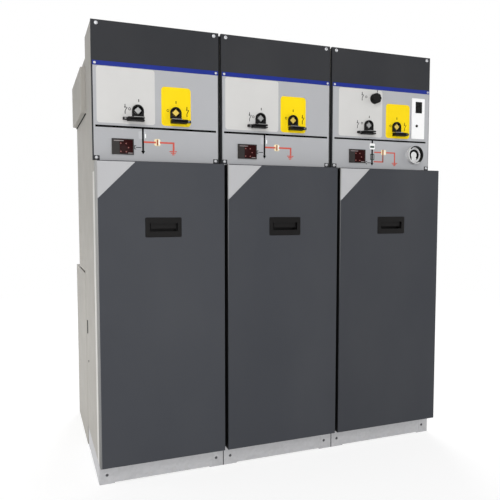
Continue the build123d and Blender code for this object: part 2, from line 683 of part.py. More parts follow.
save("side_panel_left", side_panel(False))
save("side_panel_right", side_panel(True))
save("corner_posts", corner_post(False), corner_post(True))
save("inner_walls", *[inner_wall(unit, right) for unit in UNITS for right in (False, True)
                      if (unit, right) not in ((0, False), (LAST, True))])
save("tanks", *[tank(unit) for unit in UNITS])
save("rear_ducts", *[rear_duct(unit) for unit in UNITS])
save("end_cover_left", end_cover(False))
save("end_cover_right", end_cover(True))
save("colour_strips", *[colour_strip(unit) for unit in UNITS])
save("drive_bezels", *[drive_bezel(x) for unit in UNITS for x in shafts(unit)])
save("lock_bars", *[lock_bar(x, side) for unit in UNITS for x, side in zip(shafts(unit), (-1, 1))])
save("voltage_indicators", *[voltage_indicator(unit) for unit in UNITS])
save("selector_knob", selector_knob())
save("control_plate", control_plate())
save("control_screen", control_screen())
save("gauge_collar", gauge_collar())
save("gauge_dial", gauge_dial())
save("bushings", *[each for unit in UNITS for each in bushings(unit)])
save("cable_rails", *[cable_rail(unit) for unit in UNITS])
save("earth_bar", earth_bar())
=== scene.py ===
# %% [markdown]
# # A row of three insulated switchgear cubicles
# The CAD model gives every folded sheet, housing and moving part its true size. This script adds what a
# painter, a printer and a fitter would add in the factory: paint, printed circuit diagrams, screws, lamps.
# Everything is measured in the same frame as the CAD model, so each piece lands where the metal is.

# %% Load the frame
import math
import bpy
import bmesh
from mathutils import Matrix, Vector


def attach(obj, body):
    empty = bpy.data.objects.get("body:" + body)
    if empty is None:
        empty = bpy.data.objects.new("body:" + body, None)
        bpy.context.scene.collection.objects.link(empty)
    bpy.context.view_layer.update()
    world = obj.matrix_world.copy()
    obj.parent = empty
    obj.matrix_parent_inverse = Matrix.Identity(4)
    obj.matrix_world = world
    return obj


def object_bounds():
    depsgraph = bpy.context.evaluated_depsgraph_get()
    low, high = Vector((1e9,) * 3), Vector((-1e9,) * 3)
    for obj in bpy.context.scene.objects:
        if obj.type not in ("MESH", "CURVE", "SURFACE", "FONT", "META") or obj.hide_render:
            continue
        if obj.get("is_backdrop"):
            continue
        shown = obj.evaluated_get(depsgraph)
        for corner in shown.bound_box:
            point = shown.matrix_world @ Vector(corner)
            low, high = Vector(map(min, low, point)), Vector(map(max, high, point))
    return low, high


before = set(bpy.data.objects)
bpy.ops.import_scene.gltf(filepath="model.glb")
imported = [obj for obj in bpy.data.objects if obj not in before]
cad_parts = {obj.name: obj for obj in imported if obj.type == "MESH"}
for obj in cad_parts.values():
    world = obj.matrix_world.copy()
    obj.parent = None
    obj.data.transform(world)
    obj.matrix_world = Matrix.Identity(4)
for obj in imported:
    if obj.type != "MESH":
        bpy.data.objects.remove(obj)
cad_low, cad_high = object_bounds()
print("CAD box in metres:", [round(v, 3) for v in (cad_high - cad_low)])

# %% [markdown]
# ## The camera
# The photograph was taken a little left of the row, at chest height, with an ordinary lens. The place and
# the angles below were found by matching the edges of the three cubicles in the picture.

# %% Camera
camera = bpy.data.objects.new("camera", bpy.data.cameras.new("camera"))
bpy.context.scene.collection.objects.link(camera)
camera.location = (-0.9775, -2.5804, 1.0353)
camera.rotation_euler = (math.radians(86.21), 0, math.radians(-21.06))
camera.data.lens = 41.11
camera.data.sensor_width = 36
camera.data.clip_end = 200
bpy.context.scene.camera = camera
print("camera stands", round(-camera.location.y, 2), "m in front of the row's middle")

# %% [markdown]
# ## Measuring in millimetres
# A maker thinks in millimetres from the left end of the row and from the front of the upper covers.
# Pieces are shaped in those numbers, and one matrix turns them into the frame's metres at the end. Depth
# grows towards the back, so what stands in front of the upper covers has a depth below zero.

# %% Lengths and places
MIDDLE_X = 0.755
MIDDLE_Y = 0.3845
ROW_FROM_MM = Matrix.Translation((-MIDDLE_X, -MIDDLE_Y, 0)) @ Matrix.Scale(0.001, 4)
LEFTS = (0.0, 500.0, 1000.0)
RIGHTS = (490.0, 990.0, 1510.0)


def row_x(x):
    """A place along the row, in the frame's metres."""
    return (ROW_FROM_MM @ Vector((x, 0, 0))).x


def row_y(y):
    """A depth, in the frame's metres."""
    return (ROW_FROM_MM @ Vector((0, y, 0))).y


print("the row's left end lies at x =", row_x(0))

# %% [markdown]
# ## A kit of node materials
# No painted or galvanized sheet is one flat colour. Powder coat dries with a fine orange peel and slight
# clouds, and its edges are pale, partly worn and partly a painted highlight. These helpers build such
# finishes from noise in the object's own coordinates, so the grain keeps its true size in millimetres on
# every part.


# %% Nodes, noise and sums
def add_node(tree, kind, inputs=None, **settings):
    """Adds a node, with its settings, and links or sets its inputs."""
    made = tree.nodes.new(kind)
    for key, value in settings.items():
        setattr(made, key, value)
    for key, value in (inputs or {}).items():
        if isinstance(value, bpy.types.NodeSocket):
            tree.links.new(value, made.inputs[key])
        else:
            made.inputs[key].default_value = value
    return made


def start_material(name, rough, gloss, metallic=0.0):
    """A new material with its tree, its shader and its object coordinates."""
    material = bpy.data.materials.new(name)
    material.use_nodes = True
    tree = material.node_tree
    shader = tree.nodes["Principled BSDF"]
    shader.inputs["Roughness"].default_value = rough
    shader.inputs["Metallic"].default_value = metallic
    shader.inputs["Specular IOR Level"].default_value = gloss
    place = add_node(tree, "ShaderNodeTexCoord").outputs["Object"]
    return material, tree, shader, place


def grain(tree, place, scale, detail=2.0, stretch=(1, 1, 1)):
    """Noise from 0 to 1 with scale bumps a metre; stretch multiplies them along each axis."""
    mapped = add_node(tree, "ShaderNodeMapping", {"Vector": place, "Scale": stretch}).outputs[0]
    inputs = {"Vector": mapped, "Scale": scale, "Detail": detail}
    return add_node(tree, "ShaderNodeTexNoise", inputs).outputs["Fac"]


def span(tree, value, low, high, start=0.3, stop=0.7):
    """Spreads a value that runs from start to stop over the range from low to high."""
    inputs = {"Value": value, "From Min": start, "From Max": stop, "To Min": low, "To Max": high}
    return add_node(tree, "ShaderNodeMapRange", inputs).outputs[0]


def compare(tree, kind, one, two=0.0):
    """A maths node on one or two values."""
    return add_node(tree, "ShaderNodeMath", {0: one, 1: two}, operation=kind).outputs[0]


print("node helpers ready")

# %% [markdown]
# ## Colours, relief and wear
# A finish is a few colours laid over each other, a grain that catches the light, and pale edges, partly
# worn thin and partly a painted highlight. The Bevel node finds those edges inside the shader, so no mesh
# needs a new face for them.


# %% Colours, relief and wear
def mix(tree, share, one, two):
    """Blends two colours."""
    made = add_node(tree, "ShaderNodeMix", data_type="RGBA")
    for socket, value in ((made.inputs[0], share), (made.inputs[6], one), (made.inputs[7], two)):
        if isinstance(value, bpy.types.NodeSocket):
            tree.links.new(value, socket)
        else:
            socket.default_value = value
    return made.outputs[2]


def shade(colour, factor):
    """A colour made lighter or darker, with its alpha."""
    return tuple(min(1.0, c * factor) for c in colour[:3]) + (1.0,)


def cloudy(tree, clouds, colour, spread):
    """A colour that drifts a little lighter and darker with the clouds."""
    return mix(tree, clouds, shade(colour, 1 - spread), shade(colour, 1 + spread))


def screen(red, green, blue):
    """Turns a colour as it looks on the screen into the light that the shader works with."""
    return tuple((c / 12.92 if c <= 0.04045 else ((c + 0.055) / 1.055) ** 2.4)
                 for c in (red / 255, green / 255, blue / 255)) + (1.0,)


def bump(tree, shader, height, depth):
    """Raises the surface by a noise, with depth in metres."""
    made = add_node(tree, "ShaderNodeBump", {"Height": height, "Strength": 1.0, "Distance": depth})
    tree.links.new(made.outputs[0], shader.inputs["Normal"])


def worn_and_highlit_edges(tree, place, width, amount):
    """Finds the edges of a part, worn by hands and tools and given a painted highlight, and breaks the line
    up.
    """
    rounded = add_node(tree, "ShaderNodeBevel", {"Radius": width}, samples=4).outputs[0]
    flat = add_node(tree, "ShaderNodeNewGeometry").outputs["Normal"]
    turn = add_node(tree, "ShaderNodeVectorMath", {0: rounded, 1: flat}, operation="DOT_PRODUCT")
    edge = span(tree, turn.outputs["Value"], 1.0, 0.0, 0.82, 0.98)
    chips = span(tree, grain(tree, place, 55.0, 4.0), 0.25, 1.0, 0.42, 0.6)
    return compare(tree, "MULTIPLY", compare(tree, "MULTIPLY", edge, chips), amount)


def coat(tree, shader, colour, roughness):
    """Gives the shader its colour and its roughness."""
    tree.links.new(colour, shader.inputs["Base Color"])
    tree.links.new(roughness, shader.inputs["Roughness"])


print("colour helpers ready")

# %% [markdown]
# ## Paint, prints and plastics
# Paint is cloudy with orange peel and gathers a little dust, and its edges are pale, partly worn and partly
# a painted highlight. Printed film is smoother. Plastics carry the fine grain of the mould, and their edges
# are pale in the same way. Each family is one function, so that every paint of the row is mixed in the
# same way and only its colour and gloss differ.

# %% Families of coats
# Paler colours for the edges, partly worn and partly a painted highlight along them.
WORN_AND_HIGHLIT_PAINT = (0.62, 0.62, 0.62, 1.0)
WORN_AND_HIGHLIT_PLASTIC = (0.35, 0.35, 0.36, 1.0)
DUST = (0.5, 0.48, 0.45, 1.0)


def layered(tree, place, light, clouds, others):
    """Lays further colours over a first one, each where its mask says."""
    for other, mask in others:
        light = mix(tree, mask(tree, place), light, cloudy(tree, clouds, other, 0.04))
    return light


def paint(name, colour, rough=0.42, gloss=0.3, wear_and_highlight=0.2, others=()):
    """Powder coat; others gives further colours, each with the mask that says where it lies."""
    material, tree, shader, place = start_material(name, rough, gloss)
    clouds = grain(tree, place, 5.0, 3.0)
    light = layered(tree, place, cloudy(tree, clouds, colour, 0.04), clouds, others)
    light = mix(tree, worn_and_highlit_edges(tree, place, 0.0012, wear_and_highlight), light, WORN_AND_HIGHLIT_PAINT)
    dust = span(tree, grain(tree, place, 3.0, 5.0, (1, 1, 0.4)), 0.0, 0.018, 0.42, 0.75)
    smears = span(tree, grain(tree, place, 11.0, 4.0), rough - 0.05, rough + 0.07)
    coat(tree, shader, mix(tree, dust, light, DUST), smears)
    bump(tree, shader, grain(tree, place, 420.0, 1.0), 0.00003)
    return material


def film(name, colour, rough=0.3, gloss=0.3):
    """Printed or painted film on a panel, smoother than the powder coat."""
    material, tree, shader, place = start_material(name, rough, gloss)
    clouds = grain(tree, place, 14.0, 2.0)
    smears = span(tree, grain(tree, place, 30.0, 3.0), rough - 0.05, rough + 0.08)
    coat(tree, shader, cloudy(tree, clouds, colour, 0.03), smears)
    bump(tree, shader, grain(tree, place, 700.0, 1.0), 0.00001)
    return material


def plastic(name, colour, rough=0.5, gloss=0.25, wear_and_highlight=0.12, others=()):
    """Moulded plastic with an eroded grain; others works as for paint."""
    material, tree, shader, place = start_material(name, rough, gloss)
    scuffs = span(tree, grain(tree, place, 30.0, 4.0), 0.0, 0.5)
    light = mix(tree, scuffs, shade(colour, 0.92), shade(colour, 1.2))
    light = layered(tree, place, light, scuffs, others)
    light = mix(tree, worn_and_highlit_edges(tree, place, 0.0008, wear_and_highlight), light, WORN_AND_HIGHLIT_PLASTIC)
    coat(tree, shader, light, span(tree, grain(tree, place, 120.0), rough - 0.08, rough + 0.1))
    bump(tree, shader, grain(tree, place, 1500.0, 1.0), 0.00002)
    return material


print("families: paint, film, plastic")

# %% [markdown]
# ## Zinc and turned metal
# A zinc bath leaves flat crystals on sheet, each a little lighter or duller than the next, which is what
# Voronoi cells look like. Turned and brushed metal has fine lines, so its noise is squeezed along one axis.


# %% Families of metals
def zinc(name, colour, rough=0.45, metallic=0.5):
    """Galvanized sheet, with the flat crystals of the zinc bath."""
    material, tree, shader, place = start_material(name, rough, 0.4, metallic)
    inputs = {"Vector": place, "Scale": 95.0, "Randomness": 1.0}
    cells = add_node(tree, "ShaderNodeTexVoronoi", inputs).outputs["Color"]
    value = add_node(tree, "ShaderNodeSeparateColor", {0: cells}).outputs[0]
    crystals = mix(tree, value, shade(colour, 0.93), shade(colour, 1.05))
    stain = span(tree, grain(tree, place, 9.0, 4.0), 0.0, 0.2)
    stained = mix(tree, stain, crystals, shade(colour, 0.86))
    light = mix(tree, worn_and_highlit_edges(tree, place, 0.001, 0.3), stained, shade(colour, 1.3))
    coat(tree, shader, light, span(tree, value, rough - 0.08, rough + 0.12, 0, 1))
    bump(tree, shader, grain(tree, place, 300.0, 2.0), 0.00003)
    return material


def brushed(name, colour, rough=0.32, stretch=(1, 1, 40), metallic=1.0):
    """Turned or brushed metal, with fine lines across the axis that stretch multiplies."""
    material, tree, shader, place = start_material(name, rough, 0.5, metallic)
    lines = grain(tree, place, 60.0, 3.0, stretch)
    streaks = mix(tree, lines, shade(colour, 0.82), shade(colour, 1.12))
    light = mix(tree, worn_and_highlit_edges(tree, place, 0.0006, 0.4), streaks, shade(colour, 1.4))
    coat(tree, shader, light, span(tree, lines, rough - 0.08, rough + 0.15))
    bump(tree, shader, lines, 0.00002)
    return material


print("families: zinc, brushed")

# %% [markdown]
# ## Where one part has two colours
# A cable cover has a dark front. Its folded sides and inside are painted nearly black, which is painted
# shade for the narrow gaps between the covers, and a pale line along its left bend is a painted highlight.
# A mask made from the object's own coordinates puts each colour on its side of the edge, so no mesh has to
# be cut for it.

# %% Masks of the cable covers
COVER_FACE = -78.6
FRONT_COAT = 3.4


def axes(tree, place):
    """The separate x, y and z of a place."""
    return add_node(tree, "ShaderNodeSeparateXYZ", {0: place}).outputs


def product(tree, *values):
    """Several values multiplied."""
    total = values[0]
    for value in values[1:]:
        total = compare(tree, "MULTIPLY", total, value)
    return total


def between(tree, value, low, high):
    """Is 1 where a value lies between two limits, and 0 elsewhere."""
    return product(tree, compare(tree, "GREATER_THAN", value, low), compare(tree, "LESS_THAN", value, high))


def behind_front(tree, place):
    """What lies behind the front of a cable cover, its folded sides and its inside, which get painted
    shade.
    """
    return compare(tree, "GREATER_THAN", axes(tree, place)[1], row_y(COVER_FACE + FRONT_COAT))


def pale_bend_and_highlight(edge, reach, depth, painted_fades):
    """Pale left bend with painted highlight and shade; a fade is two levels in metres and the share at
    each.
    """
    def mask(tree, place):
        x, y, z = axes(tree, place)
        strip = product(tree, compare(tree, "LESS_THAN", x, row_x(edge + reach)),
                        compare(tree, "LESS_THAN", y, row_y(COVER_FACE + depth)))
        amount = 0.0
        for low_z, high_z, low_share, high_share in painted_fades:
            painted_fade = span(tree, z, low_share, high_share, low_z, high_z)
            part = product(tree, between(tree, z, low_z, high_z), painted_fade)
            amount = compare(tree, "ADD", part, amount)
        return product(tree, strip, amount)
    return mask


print("cover masks ready")

# %% [markdown]
# ## Masks of the gauge
# The gauge's collar is white outside and black inside, and its dial has a black ring. Both meet on
# circles, so these masks measure how far a point lies from the gauge's axis. One half of the collar's rim
# is black too, which is painted shade.

# %% Masks of the gauge
GAUGE = (1425.0, 1296.0)
COLLAR_BORE = 36.5
COLLAR_RIM = -19.5
SHADED_RIM_SLOPE = (0.77, 0.64)
SHADED_RIM_START = -6.5
RING_RADII = (19.5, 26.0)
RING_FOOT = -4.4


def gauge_distance(tree, place):
    """How far a point lies from the gauge's axis, then its way along the row, in depth and up."""
    px, py, pz = axes(tree, place)
    dx = compare(tree, "SUBTRACT", px, row_x(GAUGE[0]))
    dz = compare(tree, "SUBTRACT", pz, GAUGE[1] / 1000)
    square = compare(tree, "ADD", product(tree, dx, dx), product(tree, dz, dz))
    return compare(tree, "SQRT", square), dx, py, dz


def collar_black_and_shade(tree, place):
    """The black inside of the collar, and painted shade on its rim from the upper left round to the lower
    right.
    """
    reach, dx, py, dz = gauge_distance(tree, place)
    inside = compare(tree, "LESS_THAN", reach, COLLAR_BORE / 1000)
    turned_up = compare(tree, "ADD", product(tree, dx, SHADED_RIM_SLOPE[0]), product(tree, dz, SHADED_RIM_SLOPE[1]))
    rim = product(tree, compare(tree, "GREATER_THAN", turned_up, SHADED_RIM_START / 1000),
                  compare(tree, "LESS_THAN", py, row_y(COLLAR_RIM)))
    return compare(tree, "MAXIMUM", inside, rim)


def dial_ring(tree, place):
    """The black ring that stands on the gauge's dial."""
    reach, _, py, _ = gauge_distance(tree, place)
    ring_band = between(tree, reach, RING_RADII[0] / 1000, RING_RADII[1] / 1000)
    return product(tree, ring_band, compare(tree, "LESS_THAN", py, row_y(RING_FOOT)))


print("gauge masks ready")

# %% [markdown]
# ## The finishes of this row
# The colours were read from plain parts of the photograph and then judged in the render: dark grey and
# light grey paint, a warmer grey on the sides, blue, yellow and white film, black plastic, dull zinc.

# %% Materials
# The upper covers' paint is a darker copy of the door paint, which is painted shade.
UPPER_SHADED_DARK = screen(52, 53, 56)
DOOR_DARK = screen(68, 70, 75)
# Pale sheet on the first cover's side, and the painted highlight on the bends of the other two.
PALE_SHEET_AND_HIGHLIGHT = screen(196, 195, 193)
# Nearly black painted shade for the folded sides and the inside of the cable covers.
PAINTED_SHADE_DARK = screen(20, 20, 21)
shaded_dark_paint = paint("dark paint", UPPER_SHADED_DARK, 0.5, 0.09, 0.25)
panel_paint = paint("panel paint", screen(169, 166, 160), 0.5, 0.07, 0.3)
# The posts are paler than the side panels, which partly paints in the highlight along their bends.
post_paint_with_highlight = paint("post paint", screen(208, 206, 202), 0.45, 0.3, 0.4)
mimic_grey = paint("mimic grey", screen(178, 179, 182), 0.45, 0.2, 0.8)
blue_film = film("blue film", screen(34, 50, 137), 0.35, 0.12)
white_film = film("white film", screen(211, 210, 208), 0.35, 0.2)
yellow_film = film("yellow film", screen(253, 219, 18), 0.4, 0.12)
black_ink = film("black ink", screen(8, 8, 9), 0.5, 0.05)
dark_ink = film("dark ink", screen(26, 26, 29), 0.4, 0.1)
brown_ink = film("brown ink", screen(60, 44, 8), 0.4, 0.1)
red_ink = film("red ink", screen(210, 92, 78), 0.4, 0.15)
window_red = film("window red", screen(146, 66, 44), 0.4, 0.2)
green_ink = film("green ink", screen(46, 66, 58), 0.4, 0.2)
cream_film = film("cream film", screen(246, 228, 186), 0.3)
window_film = film("window film", screen(193, 194, 197), 0.2)
# Bright film for the painted glare on the windows.
glare_film = film("bright film", screen(250, 250, 249), 0.22)
galvanized = zinc("galvanized steel", screen(181, 181, 183))
zinc_bolt = zinc("zinc bolt", screen(176, 176, 178), 0.35, 0.7)
dark_bolt = brushed("dark bolt", screen(70, 70, 73), 0.45, (8, 8, 8), 0.4)
steel = brushed("shaft steel", screen(150, 150, 149), 0.4, metallic=0.6)
yellow_zinc = brushed("yellow zinc", screen(204, 178, 84), 0.4, metallic=0.6)
screw_steel = brushed("screw steel", screen(190, 191, 194), 0.34, (8, 8, 8), 0.6)
copper = brushed("copper", screen(196, 128, 92), 0.35, (1, 30, 30))
black_plastic = plastic("black plastic", screen(20, 19, 19), 0.5, 0.1)
# Black for the painted shade inside the shaft wells.
well_shade_black = plastic("well black", screen(12, 12, 13), 0.7, 0.1, 0.0)
cap_grey = plastic("cap grey", screen(92, 92, 89), 0.7, 0.05, 0.0)
rubber = plastic("seal rubber", screen(18, 18, 19), 0.8, 0.1, 0.0)
resin = plastic("bushing resin", screen(108, 52, 40), 0.35, 0.4)
white_plate = film("white plate", screen(250, 250, 250), 0.3)
screen_black = plastic("screen black", screen(15, 15, 13), 0.25, 0.12, 0.0)
indicator_black = plastic("indicator black", screen(50, 47, 46), 0.4, 0.15)
print(len(bpy.data.materials), "materials")

# %% [markdown]
# ## Dressing the CAD parts
# Each CAD part gets its finish by name. The three cable covers need a paint each, because the pale bend
# lies at a different place along the row on each of them. The first cover shows its whole folded side,
# which is pale sheet with painted shade that darkens it towards the floor, and the other two only a line of
# painted highlight that fades towards the floor. From left to right each cover's paint is made a little
# darker, as in the photograph, which is painted shade for the light that falls off along the row.

# %% Finishes of the CAD parts
# These fades paint shade into the first cover's pale side and a fading highlight along the other bends.
OUTER_PAINTED_SHADE = ((0.05, 1.30, 0.28, 0.66),)
INNER_PAINTED_HIGHLIGHT = ((0.65, 1.085, 0.0, 0.21), (1.085, 1.30, 0.58, 0.58))
COVER_BENDS = ((5.7, 70.0, OUTER_PAINTED_SHADE), (3.2, 3.2, INNER_PAINTED_HIGHLIGHT), (3.2, 3.2, INNER_PAINTED_HIGHLIGHT))
COVER_LEFT_GAP = 0.8
# Each cover's paint is darker to the right, painted shade for the light falling off along the row.
COVER_PAINTED_FALLOFF = (1.06, 0.98, 0.88)
collar_coats = ((screen(10, 10, 11), collar_black_and_shade),)
dial_coats = ((screen(12, 12, 13), dial_ring),)
finishes = {
    "side_panel_left": panel_paint, "side_panel_right": panel_paint, "corner_posts": post_paint_with_highlight,
    "inner_walls": galvanized, "tanks": panel_paint, "rear_ducts": panel_paint,
    "end_cover_left": panel_paint, "end_cover_right": panel_paint, "colour_strips": blue_film,
    "drive_bezels": black_plastic, "lock_bars": black_plastic, "voltage_indicators": indicator_black,
    "selector_knob": black_plastic, "control_plate": white_plate, "control_screen": screen_black,
    "gauge_collar": plastic("gauge collar", screen(236, 236, 236), 0.35, 0.1, 0.0, collar_coats),
    "gauge_dial": plastic("gauge dial", screen(246, 246, 246), 0.35, 0.1, 0.0, dial_coats),
    "bushings": resin, "cable_rails": galvanized, "earth_bar": copper,
}
for number, (left, bend, falloff) in enumerate(zip(LEFTS, COVER_BENDS, COVER_PAINTED_FALLOFF), 1):
    finishes[f"plinth_{number}"] = galvanized
    finishes[f"mechanism_box_{number}"] = panel_paint
    finishes[f"front_cover_{number}"] = shaded_dark_paint
    finishes[f"mimic_panel_{number}"] = mimic_grey
    coats = ((PAINTED_SHADE_DARK, behind_front), (PALE_SHEET_AND_HIGHLIGHT, pale_bend_and_highlight(left + COVER_LEFT_GAP, *bend)))
    cover_paint = paint(f"cover paint {number}", shade(DOOR_DARK, falloff), 0.5, 0.07, 0.2, coats)
    finishes[f"cable_cover_{number}"] = cover_paint
    finishes[f"recessed_pull_{number}"] = black_plastic
    finishes[f"line_shaft_{number}"] = steel
    finishes[f"earth_shaft_{number}"] = yellow_zinc
for name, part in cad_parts.items():
    part.data.materials.clear()
    part.data.materials.append(finishes[name])
print(len(finishes), "CAD parts dressed")

# %% [markdown]
# ## How a new piece is made
# Every small piece starts as a flat outline or a turned profile, is raised or spun, and gets its sharp
# edges broken. Blender draws an outline lying down, so UPRIGHT makes it stand and face the front.

# %% Flat shapes
UPRIGHT = Matrix.Rotation(math.radians(90), 4, "X")


def raise_shape(shape, thick, soft):
    """Raises a flat shape towards the front and breaks the edges of its face."""
    made = bmesh.ops.extrude_face_region(shape, geom=shape.faces[:], use_keep_orig=True)
    face = [item for item in made["geom"] if isinstance(item, bmesh.types.BMFace)]
    corners = list({corner for item in face for corner in item.verts})
    bmesh.ops.translate(shape, vec=(0, -thick, 0), verts=corners)
    if soft:
        border = [edge for edge in shape.edges
                  if all(corner in corners for corner in edge.verts) and
                  sum(item in face for item in edge.link_faces) == 1]
        bmesh.ops.bevel(shape, geom=border, offset=soft, offset_type="OFFSET", segments=2,
                        profile=0.5, affect="EDGES", material=-1)
    bmesh.ops.recalc_face_normals(shape, faces=shape.faces[:])
    return shape


def sheet(x0, x1, z0, z1, y_back, corner=0.0):
    """A single upright face on the plane y_back, with its corners rounded where corner isn't zero."""
    shape = bmesh.new()
    bmesh.ops.create_grid(shape, x_segments=1, y_segments=1, size=0.5)
    size = Matrix.Diagonal((x1 - x0, z1 - z0, 1, 1))
    shape.transform(Matrix.Translation(((x0 + x1) / 2, y_back, (z0 + z1) / 2)) @ UPRIGHT @ size)
    if corner:
        bmesh.ops.bevel(shape, geom=shape.verts[:], offset=corner, offset_type="OFFSET", segments=6,
                        profile=0.5, affect="VERTICES", material=-1)
    return shape


def flat_plate(x0, x1, z0, z1, y_back, thick, corner=0.0, soft=0.0):
    """A flat bar or plate on the plane y_back."""
    return raise_shape(sheet(x0, x1, z0, z1, y_back, corner), thick, soft)


def drilled_plate(x0, x1, z0, z1, y_back, thick, corner, holes):
    """A flat plate with round holes, filled between its outline and the holes."""
    shape = sheet(x0, x1, z0, z1, y_back, corner)
    bmesh.ops.delete(shape, geom=shape.faces[:], context="FACES_ONLY")
    for x, z, radius in holes:
        bmesh.ops.create_circle(shape, cap_ends=False, segments=32, radius=radius,
                                matrix=Matrix.Translation((x, y_back, z)) @ UPRIGHT)
    bmesh.ops.triangle_fill(shape, edges=shape.edges[:], use_beauty=True, normal=(0, -1, 0))
    return raise_shape(shape, thick, 0)


def flat_disc(x, z, radius, y_back, thick, soft=0.0, segments=32):
    """A round plate on the plane y_back."""
    shape = bmesh.new()
    bmesh.ops.create_circle(shape, cap_ends=True, segments=segments, radius=radius)
    shape.transform(Matrix.Translation((x, y_back, z)) @ UPRIGHT)
    return raise_shape(shape, thick, soft)


print("flat shapes ready")

# %% [markdown]
# ## Rings and arcs
# A ring could be two circles and a bridge between them. Spinning one short bar makes rings and open arcs
# alike, so one helper serves the letter O, the eyelets, the wells and the gauge. Where a ring closes, the
# faces that are left inside it are taken out, so that it stays one clean shell.


# %% Rings and arcs
def flat_arc(x, z, radius, width, start, angle, y_back, thick, steps=24):
    """A bent bar round a centre; its angles run in degrees from straight right, towards up."""
    shape = flat_plate(x + radius - width / 2, x + radius + width / 2, z - 0.01, z + 0.01, y_back, thick)
    ends = [face for face in shape.faces if face.normal.z > 0.9]
    rest = [face for face in shape.faces if face not in ends]
    bmesh.ops.delete(shape, geom=rest, context="FACES")
    bmesh.ops.rotate(shape, cent=(x, 0, z), matrix=Matrix.Rotation(math.radians(-start), 3, "Y"),
                     verts=shape.verts[:])
    whole = abs(angle) >= 360
    bmesh.ops.spin(shape, geom=shape.verts[:] + shape.edges[:] + shape.faces[:], cent=(x, 0, z),
                   axis=(0, 1, 0), angle=math.radians(-angle), steps=steps, use_merge=whole)
    if whole:
        inner = [face for face in shape.faces if all(len(edge.link_faces) > 2 for edge in face.edges)]
        bmesh.ops.delete(shape, geom=inner, context="FACES_ONLY")
    bmesh.ops.recalc_face_normals(shape, faces=shape.faces[:])
    return shape


def ring(x, z, radius, width, y_back, thick, steps=24):
    """A flat ring; radius runs to the middle of its band."""
    return flat_arc(x, z, radius, width, 0, 360, y_back, thick, steps)


print("rings and arcs ready")

# %% [markdown]
# ## From shapes to a piece
# A shape can be copied to many places and turned on the way, as a fitter sets one kind of screw all round
# a lid. Shapes of one finish are then gathered in one mesh and brought into metres together. Each piece
# rides on the CAD body that carries it, so a cover takes its pale corner along when it is pulled off.

# %% Copies and pieces
FACING_UP = Matrix.Rotation(math.radians(-90), 4, "X")
FACING_BACK = Matrix.Rotation(math.radians(180), 4, "Z")
FACING_LEFT = Matrix.Rotation(math.radians(-90), 4, "Z")
FACING_RIGHT = Matrix.Rotation(math.radians(90), 4, "Z")
SMOOTH_ANGLE = 35


def gather(shapes):
    """Joins shapes into one."""
    group = bmesh.new()
    for shape in shapes:
        mesh = bpy.data.meshes.new("shape")
        shape.to_mesh(mesh)
        shape.free()
        group.from_mesh(mesh)
        bpy.data.meshes.remove(mesh)
    return group


def moved(shape, place):
    """A shape moved by a matrix."""
    shape.transform(place)
    return shape


def copies(shape, places):
    """The same shape at several places, each given as a matrix."""
    made = [moved(shape.copy(), place) for place in places]
    shape.free()
    return made


def at(*places, turn=Matrix.Identity(4)):
    """Matrices for places in millimetres, with one turn for all of them."""
    return [Matrix.Translation(place) @ turn for place in places]


def piece(name, shapes, material, body):
    """Makes one object of some shapes, in the frame's metres, riding on a CAD body."""
    group = gather(shapes)
    group.transform(ROW_FROM_MM)
    mesh = bpy.data.meshes.new(name)
    group.to_mesh(mesh)
    group.free()
    mesh.shade_smooth()
    mesh.set_sharp_from_angle(angle=math.radians(SMOOTH_ANGLE))
    mesh.materials.append(material)
    made = bpy.data.objects.new(name, mesh)
    bpy.context.scene.collection.objects.link(made)
    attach(made, body)
    print(name, len(mesh.polygons), "faces")
    return made


print("pieces can face up, back, left and right")

# %% [markdown]
# ## Printed fields of the mimic panel
# The pale panel carries a white field round the line switch and a yellow one round the earthing switch.
# On the real panel they are screen printed, so they are very thin plates with rounded corners here. Each
# is filled between its outline and the holes of the shafts, which needs no cut through a finished plate.

# %% White and yellow fields
PANEL_FACE = -1.2
PRINT = 0.15
SHAFTS = ((168.0, 314.0), (168.0, 314.0), (183.0, 329.0))
SHAFT_Z = 1418.0
SHAFT_HOLE = 17.3
KNOB_HOLE = (LEFTS[2] + 212.0, 1535.0, 7.5)
WHITE_FIELDS = ((16.6, 233.6), (16.6, 248.6), (33.6, 253.8))
YELLOW_FIELDS = ((258.0, 374.7, 1515.5), (258.0, 374.7, 1515.5), (273.0, 400.0, 1519.0))
FIELD_BOTTOM = 1367.0
FIELD_TOP = 1573.0
WHITE_CORNER = 11
YELLOW_CORNER = 14
whites = []
yellows = []
for left, (w0, w1), (y0, y1, top), (line_x, earth_x) in zip(LEFTS, WHITE_FIELDS, YELLOW_FIELDS, SHAFTS):
    line_holes = [(left + line_x, SHAFT_Z, SHAFT_HOLE)] + ([KNOB_HOLE] if left == LEFTS[2] else [])
    earth_holes = [(left + earth_x, SHAFT_Z, SHAFT_HOLE)]
    whites.append(drilled_plate(left + w0, left + w1, FIELD_BOTTOM, FIELD_TOP, PANEL_FACE, PRINT,
                                WHITE_CORNER, line_holes))
    yellows.append(drilled_plate(left + y0, left + y1, FIELD_BOTTOM, top, PANEL_FACE, PRINT,
                                 YELLOW_CORNER, earth_holes))
piece("white_fields", whites, white_film, "cubicles")
piece("yellow_fields", yellows, yellow_film, "cubicles")

# %% [markdown]
# ## The circuit diagram
# A mimic diagram shows the operator what is switched where: the busbar across, the feeder down to the
# cable, and the earthing branch in red. Straight bars meet, a triangle marks the cable end, and bars that
# grow shorter make the earth symbol. Raised ink stays sharp from any distance, which a picture would not.

# %% Printed shapes
INK = 0.3
STROKE_HALF = 1.7
EARTH_BARS = 3
EARTH_STEM_HALF = 2.4
FORK_STROKE = 2.6
FORK_PRONG = 7
FORK_STEM_HALF = 1.4


def bar(left, x0, x1, z0, z1, layer=INK, corner=0.0):
    """One printed bar on the mimic panel, measured from the left of its unit."""
    return flat_plate(left + x0, left + x1, z0, z1, PANEL_FACE, layer, corner)


